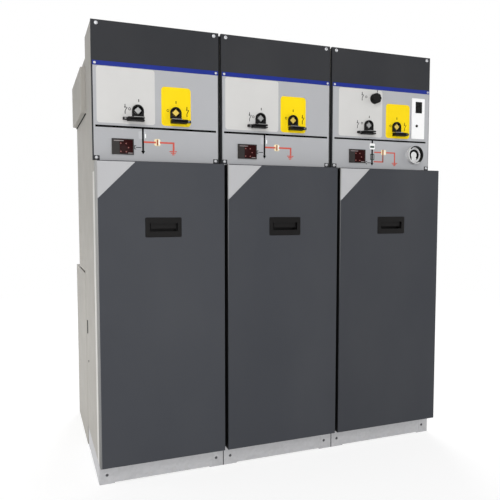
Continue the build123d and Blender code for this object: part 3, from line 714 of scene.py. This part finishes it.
def bars(left, places):
    """Several printed bars, each given as two places along the row and two levels."""
    return [bar(left, *place) for place in places]


def triangle(x, z_top, width, height):
    """A printed triangle that points down."""
    shape = bmesh.new()
    bmesh.ops.create_circle(shape, cap_ends=True, segments=3, radius=1)
    shape.transform(UPRIGHT @ Matrix.Rotation(math.radians(180), 4, "Z"))
    low = min(corner.co.z for corner in shape.verts)
    high = max(corner.co.z for corner in shape.verts)
    wide = max(corner.co.x for corner in shape.verts) - min(corner.co.x for corner in shape.verts)
    size = Matrix.Diagonal((width / wide, 1, height / (high - low), 1))
    shape.transform(Matrix.Translation((x, PANEL_FACE, z_top)) @ size @ Matrix.Translation((0, 0, -high)))
    return raise_shape(shape, INK, 0)


def earth_symbol(x, z_top, width, height):
    """Bars that grow shorter downwards, on a stem."""
    pitch = height / EARTH_BARS
    shapes = [bar(x, -EARTH_STEM_HALF, EARTH_STEM_HALF, z_top - height * 0.7, z_top)]
    for row in range(EARTH_BARS):
        half = width / 2 * (EARTH_BARS - row) / EARTH_BARS
        z = z_top - (row + 0.55) * pitch
        shapes.append(bar(x, -half, half, z - STROKE_HALF, z + STROKE_HALF, INK + 0.05))
    return shapes


def open_fork(left, x_mouth, x_root, x_end, z, half):
    """The open fork and stem that mark an interlock."""
    x_tip = x_mouth + FORK_PRONG
    return bars(left, ((x_mouth, x_mouth + FORK_STROKE, z - half, z + half),
                       (x_mouth, x_tip, z + half - FORK_STROKE, z + half),
                       (x_mouth, x_tip, z - half, z - half + FORK_STROKE),
                       (x_root, x_end, z - FORK_STEM_HALF, z + FORK_STEM_HALF)))


print("printed shapes ready, ink", INK, "mm thick")

# %% [markdown]
# ## The lines of each unit
# The two line units carry the same diagram, so one loop prints both. The fuse unit's feeder runs through
# the fuse, and red lines branch off above and below it. All places are measured from the unit's left.

# %% Circuit lines
LINE_FEEDER = ((11, 477.6, 1350.6, 1358.5), (182.8, 190, 1265, 1350.6))
LINE_EARTHING = ((190, 236, 1298.5, 1305), (251, 308.4, 1298.5, 1305), (301.5, 308.4, 1273, 1298.5))
FUSE_FEEDER = ((12.9, 491, 1351.6, 1359), (200.4, 208, 1340, 1351.6), (200.4, 208, 1250, 1313.6))
FUSE_EARTHING = ((215, 251, 1298.8, 1303.8), (277, 325.5, 1298.6, 1304),
                 (319.5, 325.5, 1259, 1298.6), (213, 258, 1257.2, 1262.2))
black = []
red = []
marks = []
for left in LEFTS[:2]:
    black += bars(left, LINE_FEEDER) + [triangle(left + 186.4, 1268, 15.5, 13)]
    red += bars(left, LINE_EARTHING) + earth_symbol(left + 303.4, 1273, 30, 18.5)
    marks += open_fork(left, 153, 159, 180, 1280.5, 7.5)
left = LEFTS[2]
black += bars(left, FUSE_FEEDER) + [triangle(left + 204.2, 1253, 15.5, 11)]
red += bars(left, FUSE_EARTHING) + earth_symbol(left + 322.4, 1259, 30, 16.5)
marks += open_fork(left, 172, 180, 198, 1254, 6.5)
piece("black_lines", black, black_ink, "cubicles")
piece("red_lines", red, red_ink, "cubicles")

# %% [markdown]
# ## Position windows and the fuse symbol
# Small windows in the lines show the true position of the switch behind them. A bar along the line means
# closed, a bar across it means open. The fuse unit's line runs through an outlined fuse. Narrow bright
# strips on the right of the windows are painted glare, and the fuse unit's whole window takes the same
# bright film.

# %% Windows and the fuse symbol
FUSE_OUTLINE = ((194.3, 197.8, 1267.6, 1293.3), (212, 215.5, 1267.6, 1293.3),
                (197.8, 212, 1290, 1293.3), (197.8, 212, 1267.6, 1271))
windows = []
glares = []
creams = []
earth_bars = []
for left in LEFTS[:2]:
    windows.append(bar(left, 170, 199, 1313, 1342, PRINT, 6))
    glares.append(bar(left, 193.6, 198, 1317, 1332, INK, 1.5))
    creams.append(bar(left, 229.5, 254, 1288.5, 1315.5, PRINT, 7))
    earth_bars.append(bar(left, 239.4, 244.4, 1290.7, 1313.3, INK, 1))
    glares.append(bar(left, 247, 251.2, 1293, 1313, INK, 1.5))
left = LEFTS[2]
glares.append(bar(left, 191, 218, 1313.6, 1340, PRINT, 5))
creams.append(bar(left, 251, 277, 1290.5, 1313.5, PRINT, 5))
earth_bars.append(bar(left, 257.5, 263.5, 1257.2, 1314.5, INK, 1))
glares.append(bar(left, 268, 273, 1292, 1312, INK, 1.5))
greens = [bar(left, 193.7, 214.6, 1320.5, 1328.9, INK, 1)] + bars(left, FUSE_OUTLINE)
piece("switch_windows", windows, window_film, "cubicles")
piece("window_glares", glares, glare_film, "cubicles")
piece("earth_windows", creams, cream_film, "cubicles")
piece("earth_window_bars", earth_bars, window_red, "cubicles")
piece("fuse_symbol", greens, green_ink, "cubicles")

# %% [markdown]
# ## Marks beside the shafts
# Beside each shaft stand plain I and O marks and a small switch symbol, which show which way to turn the
# lever. They are thin printed bars, one ring and one dot, so they can be read but stay quiet.

# %% Marks
I_HALF = 5
O_RADIUS = 4.2
O_WIDTH = 1.9
COLUMN_HALF = 1.5
CONTACT_RADIUS = 3.0
BLADE_TURN = 28
LINE_MARKS = ((172, 1456), (137, 1423), 120.5, 1404, 1440)
EARTH_MARKS = ((316, 1458.6), (284, 1426), 359, 1406, 1444)
FUSE_LINE_MARKS = ((187, 1455), (150, 1426), 127, 1403, 1437)
FUSE_EARTH_MARKS = ((332, 1456), (298, 1422), 374.3, 1403, 1440)
KNOB_MARKS = ((227, 1569), (170, 1541), 149.4, 1524, 1561)


def switch_marks(left, i_mark, o_mark, column, low, high):
    """An I, an O and a small switch symbol in a column."""
    i_x, i_z = i_mark
    middle = (low + high) / 2
    shapes = [bar(left, i_x - STROKE_HALF, i_x + STROKE_HALF, i_z - I_HALF, i_z + I_HALF),
              ring(left + o_mark[0], o_mark[1], O_RADIUS, O_WIDTH, PANEL_FACE, INK),
              bar(left, column - COLUMN_HALF, column + COLUMN_HALF, middle + 8, high),
              bar(left, column - COLUMN_HALF, column + COLUMN_HALF, low, middle - 7),
              flat_disc(left + column, middle + 7, CONTACT_RADIUS, PANEL_FACE, INK)]
    blade = moved(bar(0, -1.4, 1.4, -8, 8), Matrix.Rotation(math.radians(BLADE_TURN), 4, "Y"))
    shapes.append(moved(blade, Matrix.Translation((left + column + 4, 0, middle + 0.5))))
    return shapes


earth_marks = []
for left in LEFTS[:2]:
    marks += switch_marks(left, *LINE_MARKS)
    earth_marks += switch_marks(left, *EARTH_MARKS)
marks += switch_marks(LEFTS[2], *FUSE_LINE_MARKS)
marks += switch_marks(LEFTS[2], *KNOB_MARKS)
earth_marks += switch_marks(LEFTS[2], *FUSE_EARTH_MARKS)
piece("switch_marks", marks, dark_ink, "cubicles")
piece("earth_marks", earth_marks, brown_ink, "cubicles")

# %% [markdown]
# ## Behind the bezels
# Each shaft sits in a well. A black ring behind the bezel is painted shade for that hollow, so the bright
# shaft head stands out from it. A ring with a bore a little wider than the spindle is enough, because only
# the bezel's mouth shows it.

# %% Shaft wells
WELL_OUTER = 24.0
WELL_BORE = 11.6
WELL_BACK = 14.6
WELL_DEPTH = 2.6
well_radius = (WELL_OUTER + WELL_BORE) / 2
well_width = WELL_OUTER - WELL_BORE
wells = [ring(left + x, SHAFT_Z, well_radius, well_width, WELL_BACK, WELL_DEPTH, 40)
         for left, places in zip(LEFTS, SHAFTS) for x in places]
piece("shaft_well_shades", wells, well_shade_black, "cubicles")

# %% [markdown]
# ## Joints between the cubicles
# The cubicles stand a finger's width apart, and a black strip in each joint behind the covers is painted
# shade, as dark as the narrow gap. It is a long thin bar behind the covers, so that no light from inside
# the row shows between them.

# %% Joint strips
JOINTS = ((490.4, 499.6), (990.4, 999.6))
STRIP_LEVELS = ((1224, 1734, 20), (86, 1222, -26))
STRIP_THICK = 4
# Black strips as painted shade in the joints.
joint_shade_strips = [flat_plate(x0, x1, low, high, depth, STRIP_THICK, 0, 0.6)
                for x0, x1 in JOINTS for low, high, depth in STRIP_LEVELS]
piece("joint_shade_strips", joint_shade_strips, rubber, "cubicles")

# %% [markdown]
# ## Slides of the lock bars
# A padlock bar is a moulding on a bright steel slide. The slide's edge shows as a light line between the
# bar and the bezel, and an eyelet in the bar's nose takes the shackle. A slide is drawn like any plate
# and then laid down, and an eyelet is a small ring.

# %% Lock slides and eyelets
BAR_TOP = 1390.0
NOSE_FACE = -17.2
SLIDE_HALF = 20
SLIDE_FRONT = -31
SLIDE_REAR = -2
EYELET_REACH = 49
EYELET_DROP = 4.5
slide_places = []
eyelets = []
for left, places in zip(LEFTS, SHAFTS):
    for x, way in zip(places, (-1, 1)):
        slide_places.append((left + x, 0, BAR_TOP))
        nose_x = left + x + way * EYELET_REACH
        eyelets.append(ring(nose_x, BAR_TOP - EYELET_DROP, 2.6, 1.4, NOSE_FACE, 0.5, 20))
slide = flat_plate(-SLIDE_HALF, SLIDE_HALF, SLIDE_FRONT, SLIDE_REAR, 0, 2.4, 2, 0.4)
slides = copies(slide, at(*slide_places, turn=FACING_UP))
piece("lock_slides", slides, steel, "cubicles")
piece("lock_eyelets", eyelets, steel, "cubicles")

# %% [markdown]
# ## Voltage indicators
# Each indicator is a black housing with a dark red window over two thirds of its face, behind which small
# lamps show the voltage of the three phases. The lamps are low discs with a soft edge on the window, and
# two plain bars stand for the small print.

# %% Indicator faces
red_window = film("red window", screen(44, 14, 14), 0.3, 0.04)
lamp_dots = film("lamp dots", screen(146, 88, 84), 0.3)
pale_bars = film("pale bars", screen(160, 150, 150), 0.3)
INDICATOR_LEFTS = (69.0, 569.0, 1086.0)
INDICATOR_BOTTOM = 1252.0
INDICATOR_FACE = -3.7
PANE = (29, 78.5, 1255.5, 1307.5)
PANE_THICK = 0.6
PANE_FRONT = INDICATOR_FACE - PANE_THICK
LAMP_PLACES = ((33.5, 41.5), (53.5, 41), (62, 26), (33.5, 11), (53.5, 10.5))
LAMP_RADIUS = 2.6
PALE_BARS = ((8, 44, 1302, 1304.5), (60, 77, 1256.5, 1259))
panes = []
dots = []
strips = []
for x in INDICATOR_LEFTS:
    panes.append(flat_plate(x + PANE[0], x + PANE[1], PANE[2], PANE[3], INDICATOR_FACE, PANE_THICK, 1, 0.3))
    for dx, dz in LAMP_PLACES:
        dots.append(flat_disc(x + dx, INDICATOR_BOTTOM + dz, LAMP_RADIUS, PANE_FRONT, 0.6, 0.4, 20))
    for x0, x1, z0, z1 in PALE_BARS:
        strips.append(flat_plate(x + x0, x + x1, z0, z1, PANE_FRONT, 0.2))
piece("indicator_panes", panes, red_window, "cubicles")
piece("indicator_lamps", dots, lamp_dots, "cubicles")
piece("indicator_bars", strips, pale_bars, "cubicles")

# %% [markdown]
# ## The gauge's scale
# A pressure gauge has a scale. A few plain strokes round the upper right of its dial are enough at this
# size. Each is a short bar, turned round the gauge's axis. A wide black arc inside them is open at the
# bottom, so it is spun only part of the way round.

# %% Gauge scale
DIAL_FACE = -4.2
STROKES = 9
STROKE_STEP = 10
STROKE = (28.5, 32.5, -0.5, 0.5)
ARC_RADIUS = 18.2
ARC_WIDTH = 5.6
ARC_START = -46
ARC_ANGLE = 272
centre = Matrix.Translation((GAUGE[0], 0, GAUGE[1]))
turns = [Matrix.Rotation(math.radians(-step * STROKE_STEP), 4, "Y") for step in range(STROKES)]
strokes = copies(flat_plate(*STROKE, DIAL_FACE, INK), [centre @ turn for turn in turns])
piece("gauge_scale", strokes, dark_ink, "cubicles")
dial_arc = flat_arc(*GAUGE, ARC_RADIUS, ARC_WIDTH, ARC_START, ARC_ANGLE, DIAL_FACE, INK, 40)
piece("gauge_arc", [dial_arc], black_ink, "cubicles")

# %% [markdown]
# ## The pale corner of each cable cover
# The lower covers keep the pale sheet bare in a large corner at the top left. It is one plate cut off
# along the diagonal, the way a sheet of film is trimmed with a knife.


# %% Pale corners
def knife(shape, point, normal):
    """Cuts away what lies on the side that the normal points to."""
    geom = shape.verts[:] + shape.edges[:] + shape.faces[:]
    bmesh.ops.bisect_plane(shape, geom=geom, plane_co=point, plane_no=normal, clear_outer=True)


CORNER_LOW = 1085.0
CORNER_SIDE = 136.0
CORNER_OVERLAP = 8.5
CORNER_DROP = 1.5
CORNER_INSETS = (6.5, 4.0, 4.0)
corner_film = paint("corner film", screen(184, 184, 186), 0.4, 0.2, 0.0)
for number, (left, inset) in enumerate(zip(LEFTS, CORNER_INSETS), 1):
    x0 = left + inset
    width = CORNER_SIDE + CORNER_OVERLAP - inset
    z0 = CORNER_LOW - CORNER_DROP
    corner = sheet(x0, x0 + width, z0, z0 + CORNER_SIDE, COVER_FACE)
    knife(corner, (x0, COVER_FACE, CORNER_LOW), Vector((CORNER_SIDE, 0, -width)).normalized())
    raise_shape(corner, PRINT, 0)
    piece(f"pale_corner_{number}", [corner], corner_film, f"cable_cover_body_{number}")

# %% [markdown]
# ## Screws and bolts
# Dome screws with hexagon sockets hold the upper covers, smaller ones the blue strip and the corners of
# the mimic panel. A head is a turned profile, spun round its axis, with the socket bridged into its top.
# A bolt is a hexagon on a washer. Those of the plinth are dark, on wider bright washers of their own.


# %% Screw shapes
def dome_screw(radius, height, socket):
    """A domed head with a hexagon socket, at the origin and facing the front."""
    shape = bmesh.new()
    steps = 5
    mouth_radius = socket * 1.25
    last = shape.verts.new((radius, 0, 0))
    for step in range(steps + 1):
        turn = math.radians(90) * step / steps
        reach = mouth_radius + (radius - mouth_radius) * math.cos(turn)
        corner = shape.verts.new((reach, -0.25 * height - 0.75 * height * math.sin(turn), 0))
        shape.edges.new((last, corner))
        last = corner
    bmesh.ops.spin(shape, geom=shape.verts[:] + shape.edges[:], cent=(0, 0, 0), axis=(0, 1, 0),
                   angle=math.radians(360), steps=24, use_merge=True)
    bmesh.ops.remove_doubles(shape, verts=shape.verts[:], dist=0.001)
    mouth = [edge for edge in shape.edges if edge.is_boundary and
             all(abs(corner.co.y + height) < 0.001 for corner in edge.verts)]
    made = bmesh.ops.create_circle(shape, cap_ends=False, segments=6, radius=socket,
                                   matrix=Matrix.Translation((0, -height, 0)) @ UPRIGHT)
    hexagon = list({edge for corner in made["verts"] for edge in corner.link_edges})
    bmesh.ops.bridge_loops(shape, edges=mouth + hexagon)
    walls = bmesh.ops.extrude_edge_only(shape, edges=hexagon)
    floor = [item for item in walls["geom"] if isinstance(item, bmesh.types.BMVert)]
    bmesh.ops.translate(shape, vec=(0, height * 0.7, 0), verts=floor)
    floor_edges = [item for item in walls["geom"] if isinstance(item, bmesh.types.BMEdge) and
                   all(corner in floor for corner in item.verts)]
    bmesh.ops.contextual_create(shape, geom=floor_edges)
    back = [edge for edge in shape.edges if edge.is_boundary]
    bmesh.ops.contextual_create(shape, geom=back)
    bmesh.ops.recalc_face_normals(shape, faces=shape.faces[:])
    return shape


def hex_bolt(across, height):
    """A hexagon head on a washer, at the origin and facing the front."""
    washer = flat_disc(0, 0, across * 0.95, 0, height * 0.3, height * 0.1, 28)
    head = flat_disc(0, 0, across / math.sqrt(3), -height * 0.3, height * 0.7, height * 0.15, 6)
    return gather([head, washer])


print("a dome screw has", len(dome_screw(7.2, 4.2, 1.7).faces), "faces")

# %% [markdown]
# ## Where the screws and bolts sit
# Each row of screws is given by the size of its head, its distance from the unit's two edges and its
# place in depth and height, so one loop sets all of them.

# %% Screws and plinth bolts
SCREW_ROWS = {
    "top_screws": ((7.2, 4.2, 1.7), 19, 20.5, 0, 1726.5),
    "strip_screws": ((5.0, 3.0, 1.2), 12.3, 12.3, PANEL_FACE, 1583.5),
    "notch_screws": ((6.2, 3.6, 1.5), 13.6, 14.5, 0, 1237.8),
}
for name, (sizes, left_inset, right_inset, y, z) in SCREW_ROWS.items():
    places = []
    for left, right in zip(LEFTS, RIGHTS):
        places += at((left + left_inset, y, z), (right - right_inset, y, z))
    piece(name, copies(dome_screw(*sizes), places), screw_steel, "cubicles")
PLINTH_FACE = -28.0
PLINTH_BOLTS = (29, 464, 524.5, 958.7, 1022.7, 1477.3)
PLINTH_BOLT_Z = 36
bolt_places = at(*[(x, PLINTH_FACE, PLINTH_BOLT_Z) for x in PLINTH_BOLTS])
plinth_washers = copies(flat_disc(0, 0, 9, 0, 0.9, 0.3), bolt_places)
piece("plinth_bolts", copies(hex_bolt(6, 4), bolt_places), dark_bolt, "cubicles")
piece("plinth_washers", plinth_washers, zinc_bolt, "cubicles")

# %% [markdown]
# ## Feet of the plinth
# At the right end of each plinth a small foot plate lies at the corner, and a dark joint shows where two
# plinths meet. Both are thin plates on the front of the folded frame.

# %% Foot plates and plinth joints
FEET = ((449.0, 492.8), (943.7, 992.6), (1462.3, 1508.8))
FOOT_LEVELS = (3, 79)
PLINTH_JOINTS = (495.0, 995.0)
JOINT_LEVELS = (1, 81)
JOINT_HALF = 1.6
feet = [flat_plate(x0, x1, *FOOT_LEVELS, PLINTH_FACE, 0.8, 1.5, 0.3) for x0, x1 in FEET]
plinth_joints = [flat_plate(x - JOINT_HALF, x + JOINT_HALF, *JOINT_LEVELS, PLINTH_FACE, 0.6, 0, 0.2)
                 for x in PLINTH_JOINTS]
piece("foot_plates", feet, galvanized, "cubicles")
piece("plinth_joints", plinth_joints, rubber, "cubicles")

# %% [markdown]
# ## Roof lids
# The drive housings are closed from above by flat lids, which lift off when a drive is serviced. A lid is
# a plate with a soft edge, held by two rows of small screws, just below the top of the front cover.

# %% Roof lids and their screws
ROOF_Z = 1736.0
ROOF_FRONT = 24.0
ROOF_REAR = 224.0
LID_THICK = 1.6
LID_INSET = 9
COLUMNS = 4
COLUMN_INSET = 24
ROW_INSET = 14
lids = []
screw_places = []
for left, right in zip(LEFTS, RIGHTS):
    lid = flat_plate(left + LID_INSET, right - LID_INSET, ROOF_FRONT, ROOF_REAR, 0, LID_THICK, 6, 0.5)
    lids.append(moved(lid, Matrix.Translation((0, 0, ROOF_Z)) @ FACING_UP))
    pitch = (right - left - 2 * COLUMN_INSET) / (COLUMNS - 1)
    for column in range(COLUMNS):
        x = left + COLUMN_INSET + column * pitch
        for y in (ROOF_FRONT + ROW_INSET, ROOF_REAR - ROW_INSET):
            screw_places.append((x, y, ROOF_Z + LID_THICK))
lid_screws = copies(dome_screw(4.6, 2.2, 1.3), at(*screw_places, turn=FACING_UP))
piece("roof_lids", lids, panel_paint, "cubicles")
piece("roof_screws", lid_screws, zinc_bolt, "cubicles")

# %% [markdown]
# ## The back of the row
# Behind, a pressure relief plate closes each duct, bolted all round inside its rim. One bolt is made and
# copied to every place, turned to face the back.

# %% Duct bolts
DUCT_REAR = 845.0
DUCT_EDGES = ((-3.0, 490.0), (500.0, 990.0), (1000.0, 1513.0))
DUCT_BOLT_LEVELS = (42, 209, 376, 543, 727)
DUCT_BOLT_INSET = 42
places = []
for left, right in DUCT_EDGES:
    edges = (left + DUCT_BOLT_INSET, right - DUCT_BOLT_INSET)
    places += [(x, DUCT_REAR, z) for z in DUCT_BOLT_LEVELS for x in edges]
    places += [((left + right) / 2, DUCT_REAR, z) for z in (DUCT_BOLT_LEVELS[0], DUCT_BOLT_LEVELS[-1])]
duct_bolts = copies(hex_bolt(8, 3.6), at(*places, turn=FACING_BACK))
piece("duct_bolts", duct_bolts, zinc_bolt, "cubicles")

# %% [markdown]
# ## Weld beads
# The tank's back is a welded plate, so a low bead runs round it. A bead is a round bar with rounded ends
# that sinks halfway into the plate: a ball, whose one half is pulled away from the other.

# %% Weld beads
BEAD_RADIUS = 1.6
BEAD_INSET = 18
TANK_REAR = 700.0
TANK_SPANS = ((24, 490), (500, 990), (1000, 1486))
TANK_LOW = 795
TANK_HIGH = 1637
UP_FROM_X = Matrix.Rotation(math.radians(-90), 4, "Y")


def weld_bead(length):
    """A round bar along x, from the origin, with rounded ends."""
    shape = bmesh.new()
    bmesh.ops.create_uvsphere(shape, u_segments=12, v_segments=8, radius=BEAD_RADIUS)
    shape.transform(Matrix.Rotation(math.radians(90), 4, "Y"))
    right_half = [corner for corner in shape.verts if corner.co.x > 0.01]
    bmesh.ops.translate(shape, vec=(length, 0, 0), verts=right_half)
    return shape


beads = []
for left, right in TANK_SPANS:
    x0 = left + BEAD_INSET
    x1 = right - BEAD_INSET
    beads += copies(weld_bead(x1 - x0), at((x0, TANK_REAR, TANK_LOW), (x0, TANK_REAR, TANK_HIGH)))
    beads += copies(weld_bead(TANK_HIGH - TANK_LOW),
                    at((x0, TANK_REAR, TANK_LOW), (x1, TANK_REAR, TANK_LOW), turn=UP_FROM_X))
piece("weld_beads", beads, panel_paint, "cubicles")

# %% [markdown]
# ## The sides
# A thin black strip under each busbar end cover is painted shade for the gap beneath it. On each side
# panel a plug closes one hole and a cap fills the oblong slot. The duct behind stands a little further out
# than the panel, and a slanting bead closes that step. It is a flat bar cut to a wedge with the knife. One
# loop makes both sides, left and then right.

# %% Shade strips, plugs, caps and seams
ROW_RIGHT = RIGHTS[2]
SHADE_STRIP_SPANS = ((-3.0, -0.2), (ROW_RIGHT + 0.2, ROW_RIGHT + 3.0))
SHADE_STRIP_LOW = 1431.6
SHADE_STRIP_HIGH = 1435.0
SHADE_STRIP_REAR = 690.0
SHADE_STRIP_LENGTH = 457.0
SIDES = ((0.0, FACING_LEFT, 1), (ROW_RIGHT, FACING_RIGHT, -1))
PLUG_Y = 305
PLUG_Z = 397
CAP_Y = 325
CAP_LOW = 514.0
CAP_HIGH = 572.0
SIDE_HALF = 7
SEAM_Y = 384.2
SEAM_LOW = 84
SEAM_HIGH = 774
SEAM_THICK = 3.0
plugs = []
caps = []
seams = []
for side, turn, way in SIDES:
    plugs += copies(flat_disc(0, 0, 4.5, 0, 1.6, 0.7, 24), at((side, PLUG_Y, PLUG_Z), turn=turn))
    cap = flat_plate(-SIDE_HALF, SIDE_HALF, CAP_LOW, CAP_HIGH, 0, 3.0, 6.8, 0.8)
    caps += copies(cap, at((side, CAP_Y, 0), turn=turn))
    seam = flat_plate(-SIDE_HALF, SIDE_HALF, SEAM_LOW, SEAM_HIGH, 0, SEAM_THICK)
    knife(seam, (SIDE_HALF * way, -0.15, 0), Vector((2.8 * way, -2 * SIDE_HALF, 0)).normalized())
    bmesh.ops.holes_fill(seam, edges=[edge for edge in seam.edges if edge.is_boundary])
    bmesh.ops.recalc_face_normals(seam, faces=seam.faces[:])
    seams += copies(seam, at((side, SEAM_Y, 0), turn=turn))
# Black strips under the end covers, painted shade for the gap beneath them.
end_shade_strips = [flat_plate(x0, x1, SHADE_STRIP_LOW, SHADE_STRIP_HIGH, SHADE_STRIP_REAR, SHADE_STRIP_LENGTH, 0, 0.4) for x0, x1 in SHADE_STRIP_SPANS]
piece("end_cover_shade_strips", end_shade_strips, rubber, "cubicles")
piece("side_plugs", plugs, rubber, "cubicles")
piece("slot_caps", caps, cap_grey, "cubicles")
piece("duct_seams", seams, panel_paint, "cubicles")

# %% [markdown]
# ## Bolts inside the compartments
# Behind each cover, four bolts hold the flange of every bushing, and two bolts hold the earth bar. They
# show only when a cover is off, but a compartment without a single fastener would look like a toy.

# %% Flange and earth bar bolts
BUSHING_SPACING = 130
FLANGE_FACE = 220
FLANGE_Z = 900
FLANGE_CORNERS = ((-42, -42), (-42, 42), (42, -42), (42, 42))
EARTH_BAR_FACE = 373
EARTH_BAR_Z = 150
EARTH_BOLT_INSET = 120
flange_places = []
bar_places = []
for left, right in zip(LEFTS, RIGHTS):
    middle = (left + right) / 2
    for x in (middle - BUSHING_SPACING, middle, middle + BUSHING_SPACING):
        flange_places += [(x + dx, FLANGE_FACE, FLANGE_Z + dz) for dx, dz in FLANGE_CORNERS]
    for x in (left + EARTH_BOLT_INSET, right - EARTH_BOLT_INSET):
        bar_places.append((x, EARTH_BAR_FACE, EARTH_BAR_Z))
flange_bolts = copies(hex_bolt(8, 6), at(*flange_places))
bar_bolts = copies(hex_bolt(13, 8), at(*bar_places))
piece("flange_bolts", flange_bolts, zinc_bolt, "cubicles")
piece("earth_bar_bolts", bar_bolts, zinc_bolt, "cubicles")

# %% [markdown]
# ## Floor
# The product stands on white. The floor is a pale sheet that the camera, and any glossy metal, sees as
# nearly white light, more so further away, so that no horizon shows. Near the row it keeps its shadow.

# %% Floor
FADE_START = 1.2
FADE_END = 5.0
FLOOR_HALF = 60


def looks_white(tree):
    """Is 1 for the camera, gloss and glass, and 0 for light that only bounces."""
    ray = add_node(tree, "ShaderNodeLightPath").outputs
    mirrored = compare(tree, "ADD", ray["Is Glossy Ray"], ray["Is Transmission Ray"])
    return compare(tree, "MINIMUM", compare(tree, "ADD", ray["Is Camera Ray"], mirrored), 1.0)


floor_material, tree, shader, place = start_material("floor", 0.8, 0.1)
clouds = grain(tree, place, 0.7, 2.0)
tree.links.new(mix(tree, clouds, (0.78, 0.78, 0.78, 1), (0.82, 0.82, 0.82, 1)), shader.inputs["Base Color"])
bump(tree, shader, grain(tree, place, 60.0, 2.0), 0.0001)
far = add_node(tree, "ShaderNodeVectorMath", {0: place}, operation="LENGTH").outputs["Value"]
white = product(tree, looks_white(tree), span(tree, far, 0.48, 1.0, FADE_START, FADE_END))
strength = span(tree, far, 1.5, 1.0, FADE_START, FADE_END)
glow = add_node(tree, "ShaderNodeEmission", {"Color": (1, 1, 1, 1), "Strength": strength}).outputs[0]
blend = add_node(tree, "ShaderNodeMixShader", {0: white, 1: shader.outputs[0], 2: glow}).outputs[0]
tree.links.new(blend, tree.nodes["Material Output"].inputs["Surface"])
floor_shape = bmesh.new()
bmesh.ops.create_grid(floor_shape, x_segments=4, y_segments=4, size=FLOOR_HALF)
floor_mesh = bpy.data.meshes.new("floor")
floor_shape.to_mesh(floor_mesh)
floor_shape.free()
floor_mesh.materials.append(floor_material)
floor_object = bpy.data.objects.new("floor", floor_mesh)
bpy.context.scene.collection.objects.link(floor_object)
floor_object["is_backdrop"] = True
print("floor laid")

# %% [markdown]
# ## Light
# The surround is white to the camera and to gloss, but gives only a third of that as light. A soft lamp
# stands low in front, and a smaller one high at the left draws the shadows under the lock bars and pulls.
# A low lamp lights the left side, and two wide ones light the right side and the back.

# %% Surround and lamps
world = bpy.data.worlds.new("world")
bpy.context.scene.world = world
world.use_nodes = True
tree = world.node_tree
surround = tree.nodes["Background"]
surround.inputs["Color"].default_value = (1, 1, 1, 1)
surround.inputs["Strength"].default_value = 0.3
seen = add_node(tree, "ShaderNodeBackground", {"Color": (1, 1, 1, 1), "Strength": 1.0})
looks = looks_white(tree)
joined = add_node(tree, "ShaderNodeMixShader", {0: looks, 1: surround.outputs[0], 2: seen.outputs[0]})
tree.links.new(joined.outputs[0], tree.nodes["World Output"].inputs["Surface"])


def lamp(name, place, target, size, watts):
    """A square soft lamp that points at a target."""
    light = bpy.data.lights.new(name, "AREA")
    light.size = size
    light.energy = watts
    made = bpy.data.objects.new(name, light)
    made.location = place
    made.rotation_euler = (Vector(target) - Vector(place)).to_track_quat("-Z", "Y").to_euler()
    bpy.context.scene.collection.objects.link(made)
    return made


lamp("front", (-0.9, -6.0, 0.85), (0.1, 0, 0.8), 1.6, 92)
lamp("key", (-1.7, -4.0, 3.2), (0, 0, 0.8), 1.2, 60)
lamp("left", (-2.4, 0.1, 0.2), (-0.8, 0.1, 0.4), 1.0, 21)
lamp("right", (4.2, -2.2, 1.6), (0.7, -0.1, 0.9), 2.0, 44)
lamp("back", (1.6, 4.6, 3.0), (0, 0.4, 0.9), 3.0, 150)
bpy.context.scene.view_settings.view_transform = "Standard"
print("lamps:", [light.name for light in bpy.data.lights])

# %% [markdown]
# ## The sizes
# Dressing must not change the object's size. The last cell measures the dressed box, puts it beside the
# CAD box and prints its size.

# %% Sizes and the end
low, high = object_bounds()
sizes = {"cad": [list(cad_low), list(cad_high)], "visual": [list(low), list(high)]}
print("dressed box in metres:", [round(v, 4) for v in (high - low)])
